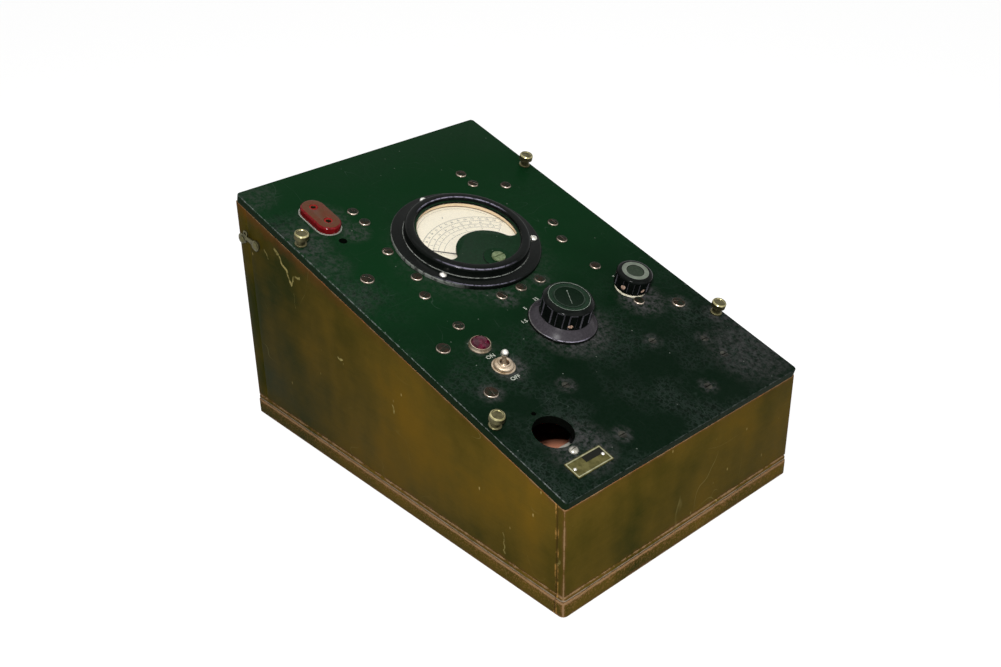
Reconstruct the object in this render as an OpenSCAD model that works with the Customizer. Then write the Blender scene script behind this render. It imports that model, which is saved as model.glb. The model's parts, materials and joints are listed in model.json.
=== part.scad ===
// Bench valve voltmeter: a wooden cabinet with a sloping black metal panel.
// The origin lies on the surface that the feet stand on, under the middle of the cabinet.
// +X points to the right, +Y to the back and +Z up, in millimetres.
// Places on the panel are [right, up the slope] from the middle of its top face.

/* [Cabinet] */
// Outside width of the wooden cabinet
cab_w = 235; // [232:1:260]
// Outside depth of the wooden cabinet
cab_d = 347.5; // [344:0.5:380]
// Height of the wood at the front, above the underside of the base
front_h = 84.4; // [82:0.2:110]
// Slope of the panel, in degrees
slope = 16.1; // [14:0.1:19]
// Thickness of the walls
wall = 12.7; // [11:0.1:14]
// Part of the front board's thickness that covers the ends of the sides
front_lap = 6.4; // [4:0.1:9]
// Thickness of the base board
base_t = 11; // [9:0.5:14]
// How far the base board stands out past the walls
base_out = 1.2; // [0.8:0.1:2.5]
// Height of the bead between the base board and the walls
bead_h = 4.5; // [3:0.1:7]
// How far the bead stands out past the walls
bead_out = 0.6; // [0.2:0.1:0.8]
// Side of the square glue blocks in the corners
block_side = 14; // [10:0.5:16]

/* [Feet] */
// Height of the rubber feet
foot_h = 3; // [2.5:0.5:8]
// Radius of the rubber feet
foot_r = 8; // [7:0.5:11]
// Distance from the walls' outer faces to the middle of a foot
foot_inset = 26; // [22:1:40]

/* [Screws in the wood] */
// Radius of the wood screws' shanks
wood_shank_r = 1.8; // [1.2:0.1:2.4]
// Radius of the wood screws' countersunk heads
wood_head_r = 3.6; // [3:0.1:4.5]
// Length of the screws that hold the base to the walls
wood_screw_len = 30; // [24:1:40]

/* [Side catches] */
// Distance from the outer back face to the catch pivots
catch_back = 23.8; // [22:0.2:30]
// Height of the catches above the underside of the base
catch_h = 155.5; // [130:0.5:160]
// Radius of the pin that the hook turns on
catch_pin_r = 1.6; // [1.2:0.1:2]
// Thickness of the hook
hook_t = 1.4; // [1:0.1:2]
// Width of the hook's metal
hook_w = 2.6; // [2:0.1:3]

/* [Panel] */
// Thickness of the panel
panel_t = 6.4; // [5:0.1:8]
// Radius of the panel's corners
panel_corner_r = 3; // [1:0.5:6]
// Radius of the panel screws' shanks
panel_shank_r = 1.6; // [1.2:0.1:2]
// Radius of the small round heads
small_head_r = 4.3; // [3.8:0.1:4.8]
// Radius of the large round heads
large_head_r = 5.2; // [4.9:0.1:6]
// Height of the round heads
head_h = 1.7; // [1:0.1:2.5]

/* [Thumb screws] */
// Distance of the thumb screws from the panel's front and rear edges
thumb_in = 74.1; // [70:0.1:84]
// Radius of the knurled heads
thumb_head_r = 5.35; // [4.6:0.05:6]
// Height of the head's top above the panel
thumb_top = 10.7; // [9:0.1:14]
// Height of the knurled part
thumb_head_h = 5; // [3:0.1:6]
// Radius of the waist
thumb_waist_r = 3.3; // [3:0.1:4]
// Radius of the collar
thumb_collar_r = 4.5; // [4.2:0.1:5.5]
// Radius of the shank
thumb_shank_r = 2.5; // [2:0.1:2.8]
// Radius of the brass inserts in the wood
insert_r = 4; // [3.4:0.1:4.4]
// Length of the inserts
insert_len = 14; // [10:0.5:20]

/* [Meter] */
// Distance of the meter's middle above the middle of the panel
meter_up = 51.4; // [50:0.1:53]
// Radius of the cover's flange
flange_r = 57.2; // [56:0.1:60]
// Height of the flange
flange_h = 3.5; // [2.5:0.1:5]
// Width of the flange that shows around the bezel
flange_w = 9.4; // [8.6:0.1:10]
// Height of the bezel
bezel_h = 11.2; // [10:0.1:13]
// Width of the raised bezel
bezel_w = 7.2; // [6:0.1:8]
// Height of the mask that carries the window
mask_h = 8.2; // [7.6:0.1:9]
// Thickness of the mask
mask_t = 1.6; // [1.2:0.1:2]
// Width of the mask between the bezel and the crescent window
window_in = 1.9; // [1.6:0.1:3]
// Radius of the hump that covers the movement
hump_r = 26.7; // [24:0.1:28]
// Distance of the hump's middle above the pointer's pivot
hump_up = 2.5; // [1:0.1:4]
// Distance of the screw circle from the flange's edge
meter_screw_in = 5.2; // [4.8:0.1:5.6]
// Radius of the meter screws' heads
meter_head_r = 2.9; // [2.2:0.1:3.4]
// Distance from the screw circle to the case behind the panel
case_off = 7.6; // [7.2:0.1:9]
// Depth of the case behind the panel's face
case_depth = 38; // [37:0.5:42]
// Thickness of the case's wall
case_wall = 2.4; // [1.8:0.1:2.8]

/* [Movement] */
// Distance of the pointer's pivot from the wall of the case
pivot_in = 12.1; // [11.8:0.1:13]
// Height of the dial's face above the panel
dial_h = 2.5; // [2.2:0.1:2.8]
// Thickness of the dial
dial_t = 0.8; // [0.5:0.1:1]
// Thickness of the surround that stands around the dial
surround_t = 1.2; // [0.8:0.1:1.4]
// Thickness of the glass
glass_t = 1.6; // [1:0.1:1.8]
// Gap between the pointer's tip and the surround
tip_gap = 2.65; // [1:0.05:5]
// Angle from straight up to the zero mark, in degrees
zero_angle = 49; // [45:0.5:50]
// Radius of the movement's iron core
core_r = 6; // [5:0.1:6.5]
// Radial gap in which the coil swings
coil_gap = 2.1; // [2:0.1:2.6]
// Depth of the magnet's front face below the panel's face
magnet_top = 20; // [19:0.5:21]
// Thickness of the magnet
magnet_t = 10; // [8:0.5:11]
// Distance of the zero corrector below the pointer's pivot
corrector_drop = 4.7; // [4.4:0.1:5]
// Radius of the zero corrector's head
corrector_r = 5.2; // [4:0.1:5.4]
// Height of the zero corrector's head above the mask
corrector_h = 2.4; // [1:0.1:3]

/* [Range switch] */
// Middle of the range knob: to the right of the panel's middle, and below it
range_place = [0.5, 54.4]; // [-2:0.1:58]
// Radius of the control shafts
shaft_r = 3.175; // [2.8:0.025:3.4]
// Radius of the knob's skirt
skirt_r = 25.5; // [24:0.1:26]
// Height of the skirt's edge
skirt_edge_h = 2.2; // [1.5:0.1:3]
// Radius of the fluted grip
grip_r = 18.8; // [17:0.1:20]
// Height where the grip stands on the skirt
grip_foot_h = 8; // [7:0.1:10]
// Height of the knob's top
knob_top = 23.4; // [20:0.1:26]
// Radius of the knob's flat top
knob_face_r = 15.8; // [14:0.1:16.5]
// Number of flutes in the grip
knob_flutes = 12; // [8:1:16]
// Radius of the switch wafers
wafer_r = 21; // [18:0.5:22]
// Depth of the first wafer below the panel's face
wafer_depth = 26; // [24:0.5:30]
// Distance between the wafers
wafer_pitch = 16; // [12:0.5:18]
// Angle between two switch positions, in degrees
step_angle = 30; // [20:1:30]

/* [Zero control] */
// Middle of the zero knob: from the right edge, and below the panel's middle
zero_place = [43.5, 52.4]; // [40:0.1:56]
// Radius of the zero knob
zero_r = 13.8; // [12:0.1:14.5]
// Height of the zero knob's top
zero_top = 16.1; // [14:0.1:18]
// Outer radius of the ring let into its top
inlay_r = 10.5; // [9:0.1:11]
// Inner radius of that ring
inlay_in_r = 6.2; // [5:0.1:7]
// Number of flutes in the zero knob
zero_flutes = 10; // [8:1:14]
// Radius of the bright plate under the knob
zero_plate_r = 11.6; // [10:0.1:12.5]
// Radius of the rheostat
rheostat_r = 20; // [18:0.5:21]
// Depth of the rheostat's can
rheostat_depth = 16; // [14:0.5:20]

/* [Power switch] */
// Middle of the toggle switch: from the left edge, and below the panel's middle
toggle_place = [48.9, 67.6]; // [46:0.1:72]
// Radius of the washer under the toggle's nut
toggle_washer_r = 8.4; // [7.8:0.1:9.4]
// Radius of the toggle's domed nut
toggle_nut_r = 7.2; // [6.2:0.1:7.6]
// Radius of the toggle's bushing
toggle_bush_r = 4.6; // [4.2:0.1:5.6]
// Lean of the lever to each side, in degrees
toggle_lean = 9; // [7:0.5:10]
// Distance from the pivot to the middle of the lever's ball
toggle_len = 10.6; // [10:0.1:13]
// Radius of the ball on the lever
toggle_ball_r = 2.7; // [2.2:0.1:3.2]

/* [Pilot lamp] */
// Distance of the pilot lamp above the toggle switch
lamp_up = 24; // [23:0.1:28]
// Radius of the lamp's bezel
lamp_bezel_r = 8; // [7.4:0.1:8.6]
// Radius of the jewel
jewel_r = 6.7; // [6:0.1:6.9]
// Height of the jewel's top above the panel
jewel_top = 6.3; // [5:0.1:8]

/* [Input terminals] */
// Middle of the terminal plate, from the panel's left and rear edges
jacks_place = [36, 56.7]; // [34:0.1:60]
// Distance between the two jacks
jack_pitch = 19.05; // [18:0.05:20]
// Radius of the jacks' bores
jack_bore_r = 2.05; // [1.8:0.05:2.2]
// Outer radius of the jacks
jack_r = 3.3; // [3:0.1:3.6]
// Width of the terminal plate
plate_w = 21; // [18:0.5:22]
// Length of the terminal plate
plate_len = 40; // [36:0.5:42]
// Thickness of the terminal plate
plate_t = 6; // [4:0.1:8]
// Distance of the earth hole below the middle of the plate
earth_down = 28.5; // [26:0.1:31]
// Radius of the earth hole
earth_hole_r = 3.1; // [2.5:0.1:3.6]

/* [Supply inlet and nameplate] */
// Middle of the open inlet hole, from the panel's left and front edges
inlet_place = [36, 49.8]; // [34:0.1:52]
// Radius of the inlet hole
inlet_r = 14.3; // [13:0.1:14.6]
// Distance between the inlet's two fixing holes
inlet_pitch = 38.1; // [37:0.1:40]
// Middle of the nameplate, from the panel's left and front edges
nameplate_place = [37, 17.8]; // [16:0.1:40]
// Width of the nameplate
nameplate_w = 32; // [28:0.5:36]
// Height of the nameplate
nameplate_h = 14; // [13:0.5:15]
// Thickness of the nameplate
nameplate_t = 0.8; // [0.5:0.1:1.2]

/* [Transformer] */
// Middle of the transformer: to the right of the middle, and from the front edge
transformer_place = [0.4, 50.4]; // [-2:0.1:54]
// Distance between its fixing screws, across and along the slope
transformer_fix = [87.5, 54]; // [52:0.5:90]
// Thickness of the iron core
stack_t = 34; // [28:1:38]
// Depth of the iron core behind its mounting plate
core_depth = 50; // [44:1:54]

/* [Chassis deck] */
// Distance of the deck's middle below the middle of the panel
deck_down = 1.7; // [0:0.1:4]
// Distance between its pillars, across and along the slope
deck_fix = [136.8, 37.2]; // [34:0.1:140]
// Depth of the deck below the panel's face
deck_depth = 62; // [60:0.5:66]
// Radius of the valves' bases
valve_r = 14; // [12:0.5:15]
// Length of the valves' glass
valve_len = 42; // [36:0.5:44]

/* [Hidden] */
$fn = 64;

// Clearances: a turning fit, a seat that doesn't move, and air between moving bodies
run_gap = 0.05;
seat_gap = 0.05;
air = 0.3;
// A little more than nothing, so that a cut goes right through
eps = 0.5;

// Levels of the cabinet
base_z = foot_h;
bead_z = base_z + base_t;
wall_z = bead_z + bead_h;
panel_len = cab_d / cos(slope);
half_w = cab_w / 2;
half_len = panel_len / 2;
in_w = cab_w - 2 * wall;
side_y0 = -cab_d / 2 + front_lap;
side_y1 = cab_d / 2 - wall;
function top_at(y) = base_z + front_h + (y + cab_d / 2) * tan(slope);

// Middles of the pieces on the panel
meter_at = [0, meter_up];
range_at = [range_place[0], -range_place[1]];
zero_at = [half_w - zero_place[0], -zero_place[1]];
toggle_at = [toggle_place[0] - half_w, -toggle_place[1]];
lamp_at = toggle_at + [-0.4, lamp_up];
jacks_at = [jacks_place[0] - half_w, half_len - jacks_place[1]];
inlet_at = [inlet_place[0] - half_w, inlet_place[1] - half_len];
nameplate_at = [nameplate_place[0] - half_w, nameplate_place[1] - half_len];
transformer_at = [transformer_place[0], transformer_place[1] - half_len];
deck_at = [0, -deck_down];

// Catches: places in the plane of a side, and levels outwards from its outer face
catch_y = cab_d / 2 - catch_back;
catch_z = base_z + catch_h;
catch_span = catch_back - wall / 2;
catch_shank_r = catch_pin_r - 0.3;
catch_shank_len = 9;
washer_t = 0.6;
washer_r = catch_pin_r + 2;
hook_z = washer_t + 0.15;
pin_head_z = hook_z + hook_t + air;
pin_head_r = catch_pin_r + 1.6;
pin_head_h = 1.5;
hook_eye_r = catch_pin_r + hook_w;
hook_in_r = catch_pin_r + 0.6;
hook_out_r = hook_in_r + hook_w;

// Screws
foot_shank_len = 9;
head_sink = wood_head_r - wood_shank_r;
foot_sink = foot_h - head_sink;
base_screw_x = cab_w / 2 - wall / 2;
base_screw_y = cab_d / 4;
front_screw_x = cab_w / 4;
front_screw_y = cab_d / 2 - wall / 2;
panel_hole_r = panel_shank_r + 0.15;
below = -panel_t;
nut_r = panel_shank_r + 1.9;
nut_h = 2.4;
bracket_t = 1.6;
nut_z = below - bracket_t - nut_h - seat_gap;
short_end = nut_z - 1.6;

// Thumb screws
thumb_u = half_w - wall / 2;
thumb_v = half_len - thumb_in;
thumb_hole_r = thumb_shank_r + air;
thumb_waist_z = thumb_top - thumb_head_h;
thumb_collar_h = 1.6;
thumb_lift = 0.1;
thumb_end = below - insert_len + 1.5;

// Meter, from its flange inwards
bezel_r = flange_r - flange_w;
recess_r = bezel_r - bezel_w;
window_r = recess_r - window_in;
meter_screw_pcr = flange_r - meter_screw_in;
case_r = meter_screw_pcr - case_off;
case_in_r = case_r - case_wall;
pivot_down = case_in_r - pivot_in;
corrector_down = pivot_down + corrector_drop;
hump_down = pivot_down - hump_up;
tip_r = (window_r - hump_r) / 2;
tip_y = -hump_down / 2;
tip_x = sqrt(pow((window_r + hump_r) / 2, 2) - tip_y * tip_y);
tip_cut_y = tip_y * window_r / ((window_r + hump_r) / 2);
case_top = dial_h - dial_t;
case_bottom = 3;
surround_r = case_in_r - 1.1;
mask_under = mask_h - mask_t;
glass_r = surround_r - surround_t - 0.2;
glass_top = mask_under - 0.1;
glass_edge_y = -corrector_down + corrector_r + 3;
meter_nut_z = below - nut_h - seat_gap;
ledge_w = 5;
stud_place = [14, 22];
stud_r = 2;
stud_len = 12;
stud_nut_r = 4;

// Movement, measured from the pivot and down from the panel's face
pivot_at = meter_at - [0, pivot_down];
staff_r = 0.6;
jewel_hole_r = staff_r + run_gap;
pole_r = core_r + coil_gap;
coil_in_r = core_r + 0.35;
coil_out_r = pole_r - 0.4;
coil_w = 3;
coil_t = 1;
core_top = -magnet_top;
core_bottom = core_top - magnet_t;
coil_top = core_top + 2;
coil_bottom = core_bottom - 2;
yoke_top = coil_bottom - 1.3;
yoke_bottom = case_bottom - case_depth + seat_gap;
bridge_z = coil_top + 1;
bridge_t = 1.2;
spring_z = bridge_z + bridge_t + 0.8;
spring_w = 0.3;
spring_h = 0.5;
spring_pitch = 0.9;
spring_turns = 4;
spring_r0 = staff_r + 0.8;
spring_end_r = spring_r0 + spring_turns * spring_pitch;
magnet_in = pole_r + 3;
magnet_low = 6;
magnet_out = sqrt(pow(case_in_r - 0.6, 2) - pow(pivot_down + magnet_low, 2));
magnet_leg = magnet_out - magnet_in;
magnet_bow_y = 34;
shoe_y = core_r + 3;
shoe_x = 4;
post_gap = 4;
post_x = magnet_in + post_gap;
yoke_low = 7;
yoke_len = 20;
yoke_end = 3;
bridge_w = 5;
tip_reach = surround_r - surround_t - tip_gap;
pointer_len = pivot_down * cos(zero_angle)
  + sqrt(pow(tip_reach, 2) - pow(pivot_down * sin(zero_angle), 2));
pointer_z = dial_h + 1.25;
pointer_t = 0.3;
tail_len = 6;
corrector_at = meter_at - [0, corrector_down];
corrector_neck_r = 1.8;
boss_r = 11.5;
boss_h = 0.4;

// Controls
bush_r = shaft_r + 1.55;
bush_hole_r = bush_r + 0.2;
bush_bore_r = shaft_r + run_gap;
bush_top = 3;
bush_flange_r = bush_r + 4;
bush_flange_t = 1.5;
hex_r = bush_r + 3;
hex_h = 2.2;
frame_z = below - bush_flange_t - 0.05;
knob_lift = 0.6;
knob_well_r = hex_r + 0.8;
knob_well_h = bush_top + 0.8;
knob_bore_top = knob_top - 8;
flute_r = 2.6;
set_screw_r = 1.8;
set_screw_h = 11;
set_screw_angle = 237;
star_r = 9;
rotor_r = 9.2;
wafer_t = 1.8;
switch_post_r = 2;
post_u = wafer_r - 4;
shaft_end = -wafer_depth - wafer_pitch - 5;
zero_plate_t = 1.2;
zero_foot = zero_plate_t + hex_h + 0.6;
zero_rim_h = 2;
zero_well_r = hex_r + 0.8;
zero_bore_top = zero_top - 5;
zero_screw_h = 7;
zero_screw_angles = [190, 259];
inlay_t = 0.6;
can_t = 1.4;
winding_in = rheostat_r - 5.5;
wiper_w = 4;
winding_h = 3;
winding_z = frame_z - can_t - winding_h - 1;
wiper_z = winding_z - air - 1.5;
locator = [-6, -14.7];

// Toggle switch
toggle_pivot_h = 0.6;
toggle_bush_top = 4.6;
toggle_bush_in = toggle_bush_r - 1.2;
toggle_pivot_r = toggle_bush_in - air;
toggle_stem_r = 1.5;
toggle_tail = 9;
toggle_tail_r = 1.2;
toggle_washer_t = 0.9;
toggle_nut_h = 2.9;
toggle_nut_edge = 0.7;
toggle_box = [13, 24, 16];
toggle_well = [7, 12, 8];
toggle_lug = [2, 1, 7];

// Pilot lamp
lamp_tube_r = 6.2;
lamp_tube_in = lamp_tube_r - 0.8;
lamp_rim_h = 3.4;
lamp_edge_h = 0.8;
lamp_lip = 0.5;
lamp_tube_end = -27;
jewel_seat = 1.2;
bulb_base_r = 4.6;
bulb_glass_r = 4.2;
bulb_base_top = -15;
bulb_top = below - 1;

// Input terminals and inlet
jack_top = plate_t - 0.4;
jack_end = -16;
jack_hole_r = jack_r + 0.15;
jack_nut_h = 3;
jack_nut_w = 2.4;
jack_nut_z = below - jack_nut_h;
plate_chamfer = 1.3;
nickel_head_r = 3.6;
nickel_head_h = 2.2;
tab_t = 1.2;
tab_w = 12;
tab_reach = inlet_pitch / 2 - 8;
tab_washer_t = 0.8;
rivet_r = 1.3;
rivet_u = nameplate_w / 2 - 3.4;

// Transformer: plate, core and coil below the panel
mount_plate_t = 2;
mount_margin = 5;
iron_w = transformer_fix[0] - 15;
iron_top = below - mount_plate_t;
leg_w = iron_w / 6;
coil_room = iron_w / 2 - 2 * leg_w;
winding_air = 0.4;
coil_over = 9;
sunk_head_r = 3;
sunk_head_h = 1.6;

// Deck and valves
deck_margin = [8, 17];
deck_size = deck_fix + 2 * deck_margin;
deck_t = 1.6;
pillar_r = 4;
pillar_screw_len = 7;
valve_places = [-46, 0, 46];
valve_base_h = 12;
valve_glass_r = valve_r - 2;

// Small components: middles, and distances between their screws
can_place = [63.5, 62];
can_at = [half_w - can_place[0], meter_at[1] + can_place[1]];
can_pitch = 14.8;
can_size = [38, 24, 58];
can_top = nut_z - 4;
can_foot = [30, can_pitch + 10];
can_stud_len = 5;
tube_res_place = [77, 12.6];
tube_res_at = meter_at + tube_res_place;
tube_res_pitch = 56;
tube_res_r = 7;
tube_res_drop = 18;
strip_place = [-60.5, 1.4];
strip_at = meter_at + strip_place;
strip_pitch = 33.5;
strip_w = 10;
strip_drop = 16;
board_place = [-0.3, -9.3];
board_at = deck_at + board_place;
board_pitch = 19;
board_drop = 14;
board_w = 20;
board_end = 12;
fuse_place = [36.7, 49.3];
fuse_at = [half_w - fuse_place[0], fuse_place[1] - half_len];
fuse_w = 14;
fuse_drop = 12;
fuse_pitch = 19;
angle_in = 24.5;
angle_u = angle_in - half_w;
angle_v = [51.5, -33, -82.5];
angle_web = 26;
angle_w = 12;
angle_over = 10;
clip_place = [23.5, 84];
clip_at = [half_w - clip_place[0], -clip_place[1]];
clip_drop = 12;

// Lists of the screws that show on the panel
pair = [-0.5, 0.5];
deck_screws = [for (a = pair) for (b = pair) deck_at + [a * deck_fix[0], b * deck_fix[1]]];
can_screws = [for (s = [-1, 1]) for (b = pair) [s * can_at[0], can_at[1] + b * can_pitch]];
tube_res_screws = [for (b = pair) tube_res_at + [0, b * tube_res_pitch]];
strip_screws = [for (b = pair) strip_at + [0, b * strip_pitch]];
board_screws = [for (k = [-1, 0, 1]) board_at + [k * board_pitch, 0]];
small_screws = concat(deck_screws, can_screws, tube_res_screws, strip_screws, board_screws);
large_screws = concat([for (v = angle_v) [angle_u, v]], [clip_at]);
transformer_screws = [for (a = pair) for (b = pair)
  transformer_at + [a * transformer_fix[0], b * transformer_fix[1]]];
fuse_screws = [for (b = pair) fuse_at + [0, b * fuse_pitch]];
sunk_screws = concat(transformer_screws, fuse_screws);
meter_screw_places = [for (a = [90, 210, 330])
  meter_at + meter_screw_pcr * [cos(a), sin(a)]];
thumb_places = [for (s = [-1, 1]) for (t = [-1, 1]) [s * thumb_u, t * thumb_v]];

// Helpers

// Moves its children from the panel's own frame to the model's frame
module on_panel() {
  translate([0, 0, top_at(0)]) rotate([slope, 0, 0]) translate([0, 0, panel_t]) children();
}

// Puts its children at a place on the panel
module at(p, z = 0) {
  translate([p[0], p[1], z]) children();
}

// A plate with round corners, from z = 0 up
module round_plate(w, l, h, r) {
  linear_extrude(h) {
    square([w - 2 * r, l], center = true);
    square([w, l - 2 * r], center = true);
    for (sx = [-1, 1]) for (sy = [-1, 1])
      translate([sx * (w / 2 - r), sy * (l / 2 - r)]) circle(r);
  }
}

// A part of a ball that stands on z = 0
module dome(r, h) {
  ball_r = (r * r + h * h) / (2 * h);
  intersection() {
    translate([0, 0, h - ball_r]) sphere(ball_r);
    cylinder(r = r, h = h);
  }
}

// A tube from z = 0 up
module tube(r_out, r_in, h) {
  difference() {
    cylinder(r = r_out, h = h);
    translate([0, 0, -eps]) cylinder(r = r_in, h = h + 2 * eps);
  }
}

// A countersunk screw that points up, with its flat head at z = 0
module wood_screw(len, grow = 0) {
  cylinder(r1 = wood_head_r + grow, r2 = wood_shank_r + grow, h = head_sink);
  cylinder(r = wood_shank_r + grow, h = len + grow);
}

// Every screw that comes up through the base board, grown for its hole
module base_screws(grow = 0) {
  for (sx = [-1, 1]) for (sy = [-1, 0, 1])
    translate([sx * base_screw_x, sy * base_screw_y, base_z]) wood_screw(wood_screw_len, grow);
  for (sx = [-1, 1])
    translate([sx * front_screw_x, -front_screw_y, base_z]) wood_screw(wood_screw_len, grow);
}

module foot_places() {
  for (sx = [-1, 1]) for (sy = [-1, 1])
    translate([sx * (cab_w / 2 - foot_inset), sy * (cab_d / 2 - foot_inset), 0]) children();
}

// A board whose outline is drawn in the plane of the sides
module board(x0, width, y0, y1) {
  translate([x0, 0, 0]) rotate([90, 0, 90]) linear_extrude(width)
    polygon([[y0, wall_z], [y1, wall_z], [y1, top_at(y1)], [y0, top_at(y0)]]);
}

// Turns its children so that z points out of the left side, y to the back and x up
module on_left_side(y) {
  translate([-cab_w / 2, y, catch_z]) rotate([0, -90, 0]) children();
}

module catch_shanks(grow = 0) {
  for (m = [0, 1]) mirror([m, 0, 0]) for (y = [catch_y, catch_y + catch_span])
    on_left_side(y) translate([0, 0, -catch_shank_len - grow])
      cylinder(r = catch_shank_r + grow, h = catch_shank_len + 2 * grow);
}

// Cabinet

module base_board() {
  color("#3e3b1c") difference() {
    translate([0, 0, base_z])
      round_plate(cab_w + 2 * base_out, cab_d + 2 * base_out, base_t, 4);
    base_screws(seat_gap);
    foot_places() translate([0, 0, base_z - eps])
      cylinder(r = wood_shank_r + seat_gap, h = foot_shank_len + seat_gap + eps);
  }
}

module base_bead() {
  color("#5a4526") difference() {
    translate([0, 0, bead_z])
      round_plate(cab_w + 2 * bead_out, cab_d + 2 * bead_out, bead_h, 3);
    translate([-in_w / 2, -cab_d / 2 + wall, bead_z - eps])
      cube([in_w, cab_d - 2 * wall, bead_h + 2 * eps]);
    base_screws(seat_gap);
  }
}

module side(s) {
  color("#4a3919") difference() {
    board(s > 0 ? cab_w / 2 - wall : -cab_w / 2, wall, side_y0, side_y1);
    base_screws(seat_gap);
    on_panel() for (v = [-thumb_v, thumb_v]) at([s * thumb_u, v], below - insert_len)
      cylinder(r = insert_r + seat_gap, h = insert_len + 2);
    catch_shanks(seat_gap);
  }
}

module side_left() { side(-1); }

module side_right() { side(1); }

module front_board() {
  color("#533f1d") difference() {
    union() {
      board(-cab_w / 2, cab_w, -cab_d / 2, side_y0 - seat_gap);
      board(-in_w / 2 + seat_gap, in_w - 2 * seat_gap, side_y0 - eps, -cab_d / 2 + wall);
    }
    base_screws(seat_gap);
  }
}

module back_board() {
  color("#433418") difference() {
    board(-cab_w / 2, cab_w, side_y1 + seat_gap, cab_d / 2);
    catch_shanks(seat_gap);
  }
}

// Glue blocks stand in the inner corners, and the back pair is held by the sides alone
module corner_blocks() {
  front_z = front_h * 0.55;
  back_z = front_h * 1.3;
  x = in_w / 2 - block_side - seat_gap;
  color("#7a5a30") for (m = [0, 1]) mirror([m, 0, 0]) {
    translate([x, -cab_d / 2 + wall + seat_gap, bead_z + seat_gap])
      cube([block_side, block_side, front_z]);
    translate([x, side_y1 - block_side - seat_gap, bead_z + seat_gap])
      cube([block_side, block_side, back_z]);
  }
}

module cabinet_screws() {
  color("#b08d4a") {
    base_screws();
    foot_places() translate([0, 0, foot_sink]) wood_screw(head_sink + foot_shank_len);
  }
}

module rubber_feet() {
  color("#1b1b1a") foot_places() difference() {
    cylinder(r = foot_r, h = foot_h);
    translate([0, 0, foot_sink]) wood_screw(foot_h, seat_gap);
    translate([0, 0, -eps]) cylinder(r = wood_head_r + seat_gap, h = foot_sink + eps);
  }
}

// Catches at the top of the sides, which hold the removable back board

// Pins: one carries the hook on the side, and the hook drops over the other
module catch_pins() {
  color("#9c7f45") {
    catch_shanks();
    for (m = [0, 1]) mirror([m, 0, 0]) for (y = [catch_y, catch_y + catch_span])
      on_left_side(y) {
        cylinder(r = washer_r, h = washer_t);
        cylinder(r = catch_pin_r, h = pin_head_z + 0.2);
        translate([0, 0, pin_head_z]) dome(pin_head_r, pin_head_h);
      }
  }
}

module catch_hook() {
  stud = [0, catch_span];
  loop = [hook_out_r + 1.2, catch_span - 5];
  translate([0, 0, hook_z]) linear_extrude(hook_t) difference() {
    union() {
      circle(hook_eye_r);
      translate(stud) circle(hook_out_r);
      polygon([[-1.5, 0], [3, 0], [hook_out_r, catch_span], [hook_in_r, catch_span]]);
      translate(loop) circle(hook_w);
    }
    circle(catch_pin_r + run_gap);
    translate(stud) circle(hook_in_r);
    translate(loop) circle(hook_w / 2);
    translate([-2 * hook_out_r, catch_span - hook_out_r - 1])
      square([2 * hook_out_r, hook_out_r + hook_in_r + 1]);
    translate([-2 * hook_out_r, catch_span]) square([2 * hook_out_r - 1.5, 2 * hook_out_r]);
  }
}

module catch_hook_left() {
  color("#a3864b") on_left_side(catch_y) catch_hook();
}

module catch_hook_right() {
  color("#a3864b") mirror([1, 0, 0]) on_left_side(catch_y) catch_hook();
}

module thumb_inserts() {
  color("#b7954f") on_panel() for (p = thumb_places) at(p, below - insert_len)
    tube(insert_r, thumb_shank_r + run_gap, insert_len - seat_gap);
}

// Panel

module panel_hole(p, r) {
  at(p, below - eps) cylinder(r = r, h = panel_t + 2 * eps);
}

module front_panel() {
  color("#17211a") on_panel() difference() {
    translate([0, 0, below]) round_plate(cab_w, panel_len, panel_t, panel_corner_r);
    for (p = thumb_places) panel_hole(p, thumb_hole_r);
    for (p = concat(small_screws, large_screws, meter_screw_places)) panel_hole(p, panel_hole_r);
    for (p = sunk_screws) {
      panel_hole(p, panel_hole_r);
      at(p, -sunk_head_h - seat_gap)
        cylinder(r1 = panel_shank_r, r2 = sunk_head_r + seat_gap + 0.2, h = sunk_head_h + 0.2);
    }
    panel_hole(zero_at + locator, panel_hole_r);
    panel_hole(meter_at, case_r + 0.5);
    panel_hole(range_at, bush_hole_r);
    panel_hole(zero_at, bush_hole_r);
    panel_hole(toggle_at, toggle_bush_r + 0.15);
    panel_hole(lamp_at, lamp_tube_r + 0.15);
    for (b = pair) panel_hole(jacks_at + [0, b * jack_pitch], jack_hole_r);
    panel_hole(jacks_at - [0, earth_down], earth_hole_r);
    panel_hole(inlet_at, inlet_r);
    for (b = pair) panel_hole(inlet_at + [0, b * inlet_pitch], panel_hole_r);
    for (s = [-1, 1]) panel_hole(nameplate_at + [s * rivet_u, 0], rivet_r * 0.6 + seat_gap);
  }
}

// A round-headed screw with its slot, which reaches down to the level end
module round_screw(head_r, end) {
  difference() {
    dome(head_r, head_h);
    translate([-head_r, -0.5, head_h * 0.55]) cube([2 * head_r, 1, head_h]);
  }
  translate([0, 0, end]) cylinder(r = panel_shank_r, h = -end + 0.1);
}

module screw_nut(z) {
  translate([0, 0, z]) difference() {
    cylinder(r = nut_r, h = nut_h, $fn = 6);
    translate([0, 0, -eps]) cylinder(r = panel_shank_r + seat_gap, h = nut_h + 2 * eps, $fn = 48);
  }
}

module panel_screws() {
  color("#20261f") on_panel() {
    for (p = deck_screws) at(p) round_screw(small_head_r, below - pillar_screw_len);
    for (p = concat(can_screws, tube_res_screws, strip_screws)) at(p) {
      round_screw(small_head_r, short_end);
      screw_nut(nut_z);
    }
    for (p = board_screws) at(p) round_screw(small_head_r, below - pillar_screw_len);
    for (p = large_screws) at(p) {
      round_screw(large_head_r, short_end);
      screw_nut(nut_z);
    }
    at(zero_at + locator) round_screw(small_head_r * 0.8, frame_z - can_t + 0.4);
  }
}

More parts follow.
